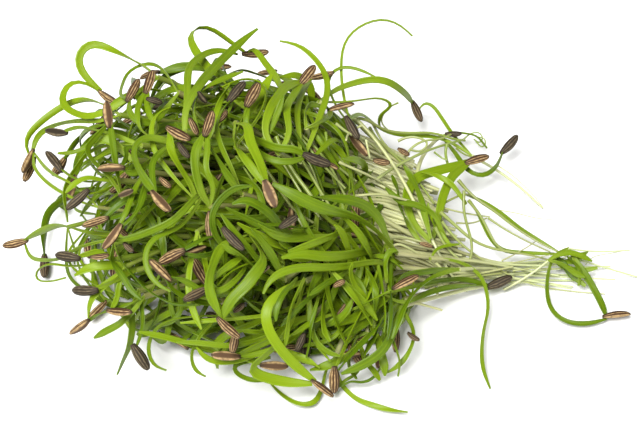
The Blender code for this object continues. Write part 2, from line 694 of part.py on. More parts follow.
def plan_stems(bunch, necks, draw):
    """Adds a stem from each neck: to the slanting cut edge, or on through the narrow place."""
    names = list(necks)
    starts = np.array([bunch.places[necks[name]] for name in names])
    beside = [k for k in range(len(names)) if starts[k, 0] > BESIDE_FROM]
    through = [k for k in range(len(names)) if k not in beside]
    seats = {through[k]: place for k, place in field_seats(starts[through]).items()}
    nearest = sorted(through, key=lambda k: seats[k][0] @ (CUT_FAR - CUT_NEAR))[:WAIST_STEMS]
    going_on = nearest + beside
    lead = np.array([seats[k][0] if k in seats else starts[k] for k in going_on])
    waisted = {going_on[k]: place for k, place in waist_seats(lead).items()}
    for k, name in enumerate(names):
        knots = [starts[k]]
        pins = []
        if k in seats:
            seat, course = seats[k]
            knots.append(seat + STEM_APPROACH * draw.uniform(0.8, 1.2) * (0.25 * TO_VIEWER - course))
            knots.append(seat)
            pins.append(seat)
        if k in waisted:
            knots.append(waisted[k])
            pins.append(waisted[k])
            turn = math.radians(draw.uniform(*TAIL_TURNS))
            tail = waisted[k] + draw.choice(TAIL_LENGTHS) * np.array((math.cos(turn), math.sin(turn), 0.0))
            tail[2] = max(LOWEST_STEM, 0.6 * waisted[k][2])
            knots.append(tail)
        else:
            end = seat + draw.uniform(*CUT_SPREAD) * course
            end[2] = max(LOWEST_STEM, 0.9 * seat[2])
            knots.append(end)
        route = smooth_route(knots, STEM_STEPS + 1)
        indices = [necks[name]]
        for place in route[1:]:
            place[2] = max(place[2], LOWEST_STEM)
            indices.append(bunch.add(place, 0.5 * STEM_WIDTH + 0.4 * CLEARANCE, LOOSE))
        for pin in pins:
            near = min(indices[1:], key=lambda i: np.linalg.norm(bunch.places[i] - pin))
            bunch.places[near] = pin.copy()
            bunch.fixed[near] = True
        bunch.run(name + ".stem", "stem", indices)
    return [names[k] for k in going_on], len(through)


def plan_own_stem(bunch, name, sprout, neck_index):
    """Adds the stem of a sprout that lies outside the gathered bunch."""
    knots = [bunch.places[neck_index]]
    for point in sprout["stem"]:
        knots.append(on_heap(point, 0.0, LOWEST_STEM))
    steps = max(3, round(route_length(knots) / 6.0))
    route = smooth_route(knots, steps + 1)
    indices = [neck_index]
    for place in route[1:]:
        indices.append(bunch.add(place, 0.5 * STEM_WIDTH + 0.5 * CLEARANCE, STEM_HOLD))
    bunch.run(name + ".stem", "own stem", indices)


def closest(p, q, r, s):
    """The closest places of segments p-q and r-s, as shares along each."""
    d1 = q - p
    d2 = s - r
    between = p - r
    a = np.einsum("ij,ij->i", d1, d1) + 1e-12
    e = np.einsum("ij,ij->i", d2, d2) + 1e-12
    f = np.einsum("ij,ij->i", d2, between)
    c = np.einsum("ij,ij->i", d1, between)
    b = np.einsum("ij,ij->i", d1, d2)
    bottom = a * e - b * b
    t1 = np.where(bottom > 1e-9, np.clip((b * f - c * e) / np.maximum(bottom, 1e-9), 0.0, 1.0), 0.5)
    t2 = np.clip((b * t1 + f) / e, 0.0, 1.0)
    t1 = np.clip((b * t2 - c) / a, 0.0, 1.0)
    return t1, t2


def segment_table(bunch):
    """Segments as index pairs, with the number of the run that each belongs to."""
    pairs = []
    owners = []
    for number, run in enumerate(bunch.runs.values()):
        for i, j in zip(run["indices"], run["indices"][1:]):
            pairs.append((i, j))
            owners.append(number)
    return np.array(pairs), np.array(owners)


def near_pairs(places, pairs, owners, reach, slack):
    """Pairs of segments of different runs that may touch, without those that share an end."""
    middle = 0.5 * (places[pairs[:, 0]] + places[pairs[:, 1]])
    half = 0.5 * np.linalg.norm(places[pairs[:, 0]] - places[pairs[:, 1]], axis=1)
    wide = np.maximum(reach[pairs[:, 0]], reach[pairs[:, 1]])
    size = half + wide + slack
    first, second = [], []
    for k in range(len(pairs) - 1):
        gap = np.linalg.norm(middle[k + 1:] - middle[k], axis=1)
        hits = np.nonzero((gap < size[k + 1:] + size[k]) & (owners[k + 1:] != owners[k]))[0]
        first.append(np.full(len(hits), k))
        second.append(hits + k + 1)
    first = np.concatenate(first)
    second = np.concatenate(second)
    shared = (
        (pairs[first, 0] == pairs[second, 0]) | (pairs[first, 0] == pairs[second, 1])
        | (pairs[first, 1] == pairs[second, 0]) | (pairs[first, 1] == pairs[second, 1])
    )
    return first[~shared], second[~shared]


def settle(bunch):
    """Moves the chains clear of each other while they keep their lengths and traced places."""
    places = np.array(bunch.places)
    wanted = places.copy()
    reach = np.array(bunch.reach)
    pull = np.array(bunch.pull)[:, None]
    free = 1.0 - np.array(bunch.fixed, float)
    pairs, owners = segment_table(bunch)
    lengths = np.linalg.norm(places[pairs[:, 0]] - places[pairs[:, 1]], axis=1)
    bends = []
    for run in bunch.runs.values():
        for i, j, k in zip(run["indices"], run["indices"][1:], run["indices"][2:]):
            bends.append((i, j, k))
    bends = np.array(bends)
    bow = places[bends[:, 1]] - 0.5 * (places[bends[:, 0]] + places[bends[:, 2]])
    for step in range(SETTLE_ROUNDS + CLEAR_ROUNDS):
        clearing = step >= SETTLE_ROUNDS
        if step % 10 == 0:
            first, second = near_pairs(places, pairs, owners, reach, 1.0)
        if not clearing:
            away = wanted - places
            away -= (away @ TO_VIEWER)[:, None] * TO_VIEWER
            places += pull * away * free[:, None]
            error = 0.5 * (places[bends[:, 0]] + places[bends[:, 2]]) + bow - places[bends[:, 1]]
            shift = np.zeros_like(places)
            np.add.at(shift, bends[:, 1], 0.2 * error)
            places += shift * free[:, None]
        for _ in range(2):
            span = places[pairs[:, 1]] - places[pairs[:, 0]]
            long = np.maximum(np.linalg.norm(span, axis=1), 1e-9)
            weight = free[pairs[:, 0]] + free[pairs[:, 1]] + 1e-9
            move = (0.6 * (long - lengths) / long / weight)[:, None] * span
            shift = np.zeros_like(places)
            np.add.at(shift, pairs[:, 0], move * free[pairs[:, 0], None])
            np.add.at(shift, pairs[:, 1], -move * free[pairs[:, 1], None])
            places += 0.8 * shift
        push_apart(places, pairs, first, second, reach, free, 0.9)
        places[:, 2] = np.maximum(places[:, 2], np.minimum(reach, 1.0))
    bunch.places = list(places)
    return pairs, owners


def push_apart(places, pairs, first, second, reach, free, rate):
    """Moves each pair of segments that is too close apart, and returns the least spare room."""
    i, j = pairs[first, 0], pairs[first, 1]
    k, m = pairs[second, 0], pairs[second, 1]
    t1, t2 = closest(places[i], places[j], places[k], places[m])
    near1 = places[i] + t1[:, None] * (places[j] - places[i])
    near2 = places[k] + t2[:, None] * (places[m] - places[k])
    gap = near1 - near2
    apart = np.linalg.norm(gap, axis=1)
    room = apart - (reach[i] + t1 * (reach[j] - reach[i])) - (reach[k] + t2 * (reach[m] - reach[k]))
    hits = np.nonzero(room < 0.0)[0]
    if not len(hits):
        return float(room.min()) if len(room) else 0.0
    i, j, k, m = i[hits], j[hits], k[hits], m[hits]
    t1, t2 = t1[hits], t2[hits]
    away = np.where(apart[hits, None] > 1e-6, gap[hits] / np.maximum(apart[hits, None], 1e-6), TO_VIEWER)
    shares = np.stack(((1 - t1) * free[i], t1 * free[j], (1 - t2) * free[k], t2 * free[m]))
    weights = np.stack((1 - t1, t1, 1 - t2, t2))
    total = np.maximum(np.sum(shares * weights, axis=0), 0.25)
    depth = np.minimum(-room[hits], 1.0)
    shift = np.zeros_like(places)
    count = np.zeros(len(places))
    for index, share, sign in ((i, shares[0], 1), (j, shares[1], 1), (k, shares[2], -1), (m, shares[3], -1)):
        np.add.at(shift, index, (sign * share * depth / total)[:, None] * away)
        np.add.at(count, index, share)
    places += rate * shift / np.maximum(1.0, count)[:, None]
    return float(room.min())


def facing(places, roll):
    """For each place of a chain, the direction in which a seed leaf's flat face looks."""
    along = np.gradient(places, axis=0)
    along = unit(along)
    (x, y), _ = HEAP
    outward = unit(places - np.array((x, y, -10.0)))
    look = unit(0.4 * outward + 0.6 * TO_VIEWER)
    low = np.clip((3.0 - places[:, 2:3]) / 2.0, 0.0, 1.0)
    look = unit(look * (1.0 - low) + np.array((0.0, 0.0, 1.0)) * low)
    look = unit(look - np.sum(look * along, axis=1, keepdims=True) * along)
    for _ in range(4):
        calm = look.copy()
        calm[1:-1] += look[:-2] + look[2:]
        look = unit(calm - np.sum(calm * along, axis=1, keepdims=True) * along)
    side = np.cross(along, look)
    turn = roll * (1.0 - low)
    return unit(np.cos(turn) * look + np.sin(turn) * side), along


def loft(name, rings):
    """A closed body: the first ring's face is extruded from ring to ring."""
    work = bmesh.new()
    front = work.faces.new([work.verts.new(corner * MM) for corner in rings[0]])
    for number, ring in enumerate(rings[1:]):
        before = [Vector(corner * MM) for corner in rings[number]]
        grown = bmesh.ops.extrude_face_region(work, geom=[front, *front.edges, *front.verts])
        front = next(part for part in grown["geom"] if isinstance(part, bmesh.types.BMFace))
        for vertex in front.verts:
            spot = min(range(len(ring)), key=lambda k: (before[k] - vertex.co).length)
            vertex.co = ring[spot] * MM
    bmesh.ops.recalc_face_normals(work, faces=work.faces[:])
    bmesh.ops.triangulate(work, faces=work.faces[:], quad_method="FIXED")
    mesh = bpy.data.meshes.new(name)
    work.to_mesh(mesh)
    work.free()
    thing = bpy.data.objects.new(name, mesh)
    bpy.context.scene.collection.objects.link(thing)
    return thing


def lifted(rings):
    """The rings, with those that would dip under the surface raised onto it."""
    raised = []
    for ring in rings:
        rise = max(0.0, LEAST_HEIGHT - min(corner[2] for corner in ring))
        raised.append([corner + np.array((0.0, 0.0, rise)) for corner in ring])
    return raised


def leaf_body(name, places, width, roll):
    """A narrow blade, flat on its outer face and keeled behind."""
    look, along = facing(places, roll)
    side = np.cross(look, along)
    rings = []
    last = len(places) - 1
    for k in range(last + 1):
        half = leaf_breadth(k / last, width)
        top = places[k] + 0.35 * LEAF_THICKNESS * look[k]
        keel = places[k] - 0.65 * LEAF_THICKNESS * look[k]
        rings.append((top + half * side[k], top - half * side[k], keel))
    return loft(name, lifted(rings))


def round_rings(places, radii, sides, start):
    """Rings of corners round a chain, kept from turning."""
    along = unit(np.gradient(places, axis=0))
    normal = unit(start - np.dot(start, along[0]) * along[0])
    rings = []
    for k, place in enumerate(places):
        normal = unit(normal - np.dot(normal, along[k]) * along[k])
        other = np.cross(along[k], normal)
        ring = []
        for s in range(sides):
            angle = 2.0 * math.pi * s / sides
            ring.append(place + radii[k] * (math.cos(angle) * normal + math.sin(angle) * other))
        rings.append(ring)
    return lifted(rings)


def husk_body(name, root, end):
    """A husk: a faceted spindle with blunt ends."""
    shares = (-0.05, 0.28, 0.72, 1.0)
    sizes = (0.5, 1.0, 0.95, 0.35)
    places = np.array([root + share * (end - root) for share in shares])
    radii = [0.5 * HUSK_WIDTH * size for size in sizes]
    return loft(name, round_rings(places, radii, HUSK_SIDES, np.array((0.0, 0.1, 1.0))))


def stem_body(name, places, radius, sides, taper):
    """A stem of few sides, a little thinner at its cut end."""
    last = len(places) - 1
    radii = [radius * (1.0 - taper * k / last) for k in range(last + 1)]
    return loft(name, round_rings(places, radii, sides, np.array((0.02, 0.1, 1.0))))


def core_body(name, stations):
    """A slim core under the stems: arched rings that stand flat on the floor along a path."""
    middles = np.array([(x, y, 0.0) for x, y, _, _ in stations])
    along = unit(np.gradient(middles, axis=0))
    rings = []
    for (x, y, half_width, height), ahead in zip(stations, along):
        aside = np.array((-ahead[1], ahead[0], 0.0))
        ring = []
        for k in range(CORE_CORNERS):
            angle = math.pi * k / (CORE_CORNERS - 1)
            ring.append(
                np.array((x, y, 0.0)) + half_width * math.cos(angle) * aside
                + np.array((0.0, 0.0, height * math.sin(angle)))
            )
        rings.append(ring)
    return loft(name, rings)


def field_core(count):
    """The stations of the core under the stacked stems, from their near side to their far side."""
    stations = []
    for share, held in field_columns(count):
        x, y, top = field_seat(share, held - 1)
        stations.append((x, y, CORE_HALF_WIDTH, top - CORE_SINK))
    return stations


def closed(mesh):
    """Whether each edge of a mesh has two faces."""
    faces_of = {}
    for polygon in mesh.polygons:
        for key in polygon.edge_keys:
            faces_of[key] = faces_of.get(key, 0) + 1
    return all(count == 2 for count in faces_of.values())


def in_order(mesh):
    """A mesh with the same corners and faces, sorted by place, since a union lists them in any order."""
    places = [tuple(vertex.co) for vertex in mesh.vertices]
    order = sorted(range(len(places)), key=lambda index: places[index])
    renumbered = {old: new for new, old in enumerate(order)}
    faces = []
    for polygon in mesh.polygons:
        corners = [renumbered[index] for index in polygon.vertices]
        start = corners.index(min(corners))
        faces.append(corners[start:] + corners[:start])
    ordered = bpy.data.meshes.new(mesh.name)
    ordered.from_pydata([places[index] for index in order], [], sorted(faces))
    return ordered


def fuse(name, bodies):
    """One closed body from several, by one union on their collection."""
    first, others = bodies[0], bodies[1:]
    group = bpy.data.collections.new(name + " pieces")
    bpy.context.scene.collection.children.link(group)
    for body in others:
        group.objects.link(body)
    for solver in ("EXACT", "MANIFOLD"):
        whole = bpy.data.objects.new(name, first.data.copy())
        bpy.context.scene.collection.objects.link(whole)
        union = whole.modifiers.new("union", "BOOLEAN")
        union.operation = "UNION"
        union.operand_type = "COLLECTION"
        union.collection = group
        union.solver = solver
        bpy.context.view_layer.objects.active = whole
        bpy.ops.object.modifier_apply(modifier=union.name)
        if closed(whole.data):
            break
        if solver == "EXACT":
            bpy.data.objects.remove(whole)
    for body in bodies:
        bpy.data.objects.remove(body)
    bpy.data.collections.remove(group)
    whole.data = in_order(whole.data)
    whole.name = name
    whole.data.name = name
    return whole


def plan_bunch():
    """Every chain of the bunch, settled, with the necks, long stems and stacked stems it has."""
    draw = np.random.default_rng(SEED)
    bunch = Bunch()
    necks = {}
    for name, sprout in SPROUTS.items():
        neck_index = plan_sprout(bunch, name, sprout)
        if "stem" in sprout:
            plan_own_stem(bunch, name, sprout, neck_index)
        else:
            necks[name] = neck_index
    for k in range(BACK_NODES):
        name = f"back_{k + 1:02d}"
        turn = math.radians(BACK_FIRST_TURN + k * BACK_TURN_STEP)
        climb = math.radians(BACK_CLIMBS[k % len(BACK_CLIMBS)])
        necks[name] = plan_back(bunch, name, turn, climb, draw)
    long_stems, stacked = plan_stems(bunch, necks, draw)
    settle(bunch)
    return bunch, necks, long_stems, stacked


def chain(bunch, run_name):
    """The settled places of a run."""
    return np.array([bunch.places[i] for i in bunch.runs[run_name]["indices"]])


def leafy_node(bunch, name, gathered):
    """One node: the seed leaves and husks of a sprout, with the top of its stem."""
    bodies = []
    stem = chain(bunch, name + ".stem")
    if gathered:
        down = unit(stem[1] - stem[0])
        stub = np.array((stem[0] - NECK_RISE * down, stem[0], stem[0] + NECK_STUB * down))
        scale = BACK_NECK_SCALE if name.startswith("back") else 1.0
        radii = [size * scale for size in NECK_RADII]
        bodies.append(loft(name, round_rings(stub, radii, NECK_SIDES, np.array((0.02, 0.1, 1.0)))))
    else:
        down = unit(stem[1] - stem[0])
        own = np.vstack((stem[0] - NECK_RISE * down, stem))
        radii = list(NECK_RADII[:2]) + [0.5 * STEM_WIDTH] * (len(stem) - 1)
        bodies.append(loft(name, round_rings(own, radii, NECK_SIDES, np.array((0.02, 0.1, 1.0)))))
    mine = {key: run for key, run in bunch.runs.items() if key.startswith(name + ".")}
    husk_roots = {}
    for run_name, run in mine.items():
        if run["kind"] == "husk":
            places = chain(bunch, run_name)
            husk_roots[run["indices"][0]] = unit(places[1] - places[0])
    for run_name, run in mine.items():
        places = chain(bunch, run_name)
        if run["kind"] == "leaf":
            inward = unit(places[-1] - places[-2])
            places[-1] = places[-1] + (0.2 + 0.15 * len(bodies)) * inward
            if run["indices"][0] in husk_roots:
                axis = husk_roots[run["indices"][0]]
                aside = places[1] - places[0]
                aside = unit(aside - np.dot(aside, axis) * axis)
                places[0] = places[0] + 0.45 * axis + HUSK_TIP_OFFSET * aside
            bodies.append(leaf_body(run_name, places, run["width"], LEAF_ROLL * (-1) ** len(bodies)))
        elif run["kind"] == "husk":
            bodies.append(husk_body(run_name, places[0], places[1]))
    return fuse(name, bodies)


def stem_node(bunch, necks, long_stems, stacked):
    """One node: all the gathered stems and their slim core."""
    bodies = [core_body("stem_bundle", field_core(stacked))]
    for name in necks:
        stem = chain(bunch, name + ".stem")
        down = unit(stem[1] - stem[0])
        stem[0] = stem[0] + (NECK_STUB + CLEARANCE) * down
        taper = TAIL_TAPER if name in long_stems else 0.5 * TAIL_TAPER
        bodies.append(stem_body(name + ".stem", stem, 0.5 * STEM_WIDTH, STEM_SIDES, taper))
    return fuse("stem_bundle", bodies)


def material(name, colour, roughness):
    """A plain surface of one colour."""
    made = bpy.data.materials.new(name)
    made.use_nodes = True
    shader = made.node_tree.nodes["Principled BSDF"]
    shader.inputs["Base Color"].default_value = colour
    shader.inputs["Roughness"].default_value = roughness
    return made


def main():
    for thing in list(bpy.data.objects):
        bpy.data.objects.remove(thing)
    bunch, necks, long_stems, stacked = plan_bunch()
    nodes = {}
    for name in list(SPROUTS) + [n for n in necks if n.startswith("back_")]:
        nodes[name] = leafy_node(bunch, name, name in necks)
        nodes[name].data.materials.clear()
        nodes[name].data.materials.append(material(name + " leaf", LEAF_GREEN, 0.45))
    nodes["stem_bundle"] = stem_node(bunch, necks, long_stems, stacked)
    nodes["stem_bundle"].data.materials.clear()
    nodes["stem_bundle"].data.materials.append(material("stem", STEM_PALE, 0.5))
    centre_on_floor(list(nodes.values()))


def centre_on_floor(things):
    """Moves the bunch so that its box stands on the origin."""
    corners = np.array([tuple(v.co) for thing in things for v in thing.data.vertices])
    low, high = corners.min(axis=0), corners.max(axis=0)
    shift = np.array((0.5 * (low[0] + high[0]), 0.5 * (low[1] + high[1]), low[2]))
    for thing in things:
        for vertex in thing.data.vertices:
            vertex.co = [c - s for c, s in zip(vertex.co, shift)]


if __name__ == "__main__":
    main()
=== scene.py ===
"""A cut bunch of fennel cress: fine seed leaves, ridged husks and pale stems in place of the plain
solids, with the sprouts between them and inside the heap."""

import math

import bpy
import numpy as np
from mathutils import Color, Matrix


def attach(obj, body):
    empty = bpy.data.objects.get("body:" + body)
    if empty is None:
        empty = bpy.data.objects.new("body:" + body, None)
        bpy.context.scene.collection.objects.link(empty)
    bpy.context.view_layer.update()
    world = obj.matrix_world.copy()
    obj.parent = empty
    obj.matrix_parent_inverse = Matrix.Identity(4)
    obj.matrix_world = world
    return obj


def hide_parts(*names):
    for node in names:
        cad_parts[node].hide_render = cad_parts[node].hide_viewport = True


bl_info = {
    "name": "Fennel cress bunch",
    "version": (1, 0, 0),
    "blender": (4, 5, 0),
    "location": "3D View > Sidebar > Cress",
    "description": "Fine leaves, husks and stems for a cut bunch of fennel cress",
    "category": "Add Mesh",
}

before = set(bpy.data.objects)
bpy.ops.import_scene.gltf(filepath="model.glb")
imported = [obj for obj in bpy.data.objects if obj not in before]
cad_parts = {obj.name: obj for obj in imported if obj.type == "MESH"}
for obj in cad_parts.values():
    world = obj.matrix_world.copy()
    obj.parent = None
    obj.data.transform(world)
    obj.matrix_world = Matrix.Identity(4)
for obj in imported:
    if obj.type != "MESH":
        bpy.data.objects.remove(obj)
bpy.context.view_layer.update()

# Real sizes, in millimetres
MM = 0.001
LEAF_LENGTH = 30.0
HUSK_LENGTH = 6.0
STEM_WIDTH = 1.05
HUSK_TIP_OFFSET = 0.4
CLEARANCE = 0.35
LEAST_HEIGHT = 0.05
LOWEST_STEM = 0.8

# Middle, half width, half depth and height of the leafy heap, its lower slope in front, the band
# beside it and the tail
HEAP = ((-24.0, -7.0), (42.0, 42.0, 37.0))
SLOPE = ((4.0, -22.0), (25.0, 25.0, 15.0))
BAND = ((16.0, -1.0), (32.0, 26.0, 11.5))
TAIL = ((45.0, -14.0), (28.0, 9.0, 4.0))
SHAPES = (HEAP, SLOPE, BAND, TAIL)

# The routes are given as they look from this place, in picture points
POINTS_PER_MM = 4.5
PICTURE_MIDDLE = (320.0, 215.0)
SIGHT_ELEVATION = math.radians(50.0)
SIGHT_DISTANCE = 335.0

# The stems: the ends of their slanting cut edge, the way they run at each end of it in degrees, how
# high they are stacked and how far their cut ends stand out of the core
CUT_NEAR = np.array((28.0, -19.6, 0.0))
CUT_FAR = np.array((14.7, 14.1, 0.0))
CUT_COURSES = (-10.0, -36.0)
FIELD_HEIGHT = 8.0
FIELD_PITCH = 1.7
FIELD_STEP = 1.6
CUT_REACH = 6.0
CUT_SPREAD = (3.0, 9.0)
STEM_APPROACH = 11.0

# The narrow place on the way to the thin ends: its middle, and how many stems lie side by side in
# it, how far apart and touching. The ends fan out from there, in degrees.
WAIST = (42.0, -17.5)
WAIST_ROW = 4
WAIST_PITCH = 0.6
WAIST_STEMS = 4
BESIDE_FROM = 13.3
TAIL_LENGTHS = (6.0, 9.0, 12.0, 16.0, 21.0)
TAIL_TURNS = (-16.0, 22.0)

# Nodes that are not traced: they fill the back of the heap, each with the leaves of a few sprouts
BACK_SHAPE = ((-22.0, -6.0), (38.0, 40.0, 35.0))
BACK_NODES = 9
BACK_LEAVES = 4
BACK_NECK = 0.66
BACK_FIRST_TURN = 14.0
BACK_TURN_STEP = 18.0
BACK_CLIMBS = (12.0, 42.0)
BACK_LOWEST = 2.2

# How far each kind of place is kept from the others, and how firmly it stays where it is traced
NECK_REACH = 0.75
HUSK_ROOT_REACH = 1.1
HUSK_END_REACH = 1.35
HUSK_HOLD = 0.3
LEAF_HOLD = 0.25
LEAF_END_HOLD = 0.05
STEM_HOLD = 0.2
NECK_HOLD = 0.01
LOOSE = 0.02

# The lowest place that a neck, a husk and a leaf are planned at
LOWEST_NECK = 1.6
LOWEST_HUSK = 1.5
LOWEST_LEAF = 1.2

# Half breadths of a leaf as shares of its width: at the tip, how fast it widens from there, where
# it begins to narrow towards its neck and by how much, and the least of it in millimetres
TIP_SHARE = 0.35
TIP_RISE = 3.2
FULL_TO = 0.55
BASE_THINNING = 0.62
LEAST_HALF_BREADTH = 0.36
LEAF_ROLL = 0.35

SEED = 11
LEAF_STEP = 5.1
LEAST_LEAF_STEPS = 4
MOST_LEAF_STEPS = 8
BACK_LEAF_STEPS = 5
STEM_STEPS = 7
DEPTH_ROUNDS = 2
HUSK_SLOPE = 2.0
SETTLE_ROUNDS = 420
CLEAR_ROUNDS = 220

# What each row of a table of sprouts holds after its number
ROW = ("neck", "lift", "dip", "husk", "a", "b", "stem")


def traced(kind, rows):
    """The sprouts of a table by name. Only the row of a loose sprout ends with its stem."""
    return {f"{kind}_{number:02d}": dict(zip(ROW, row)) for number, *row in rows}


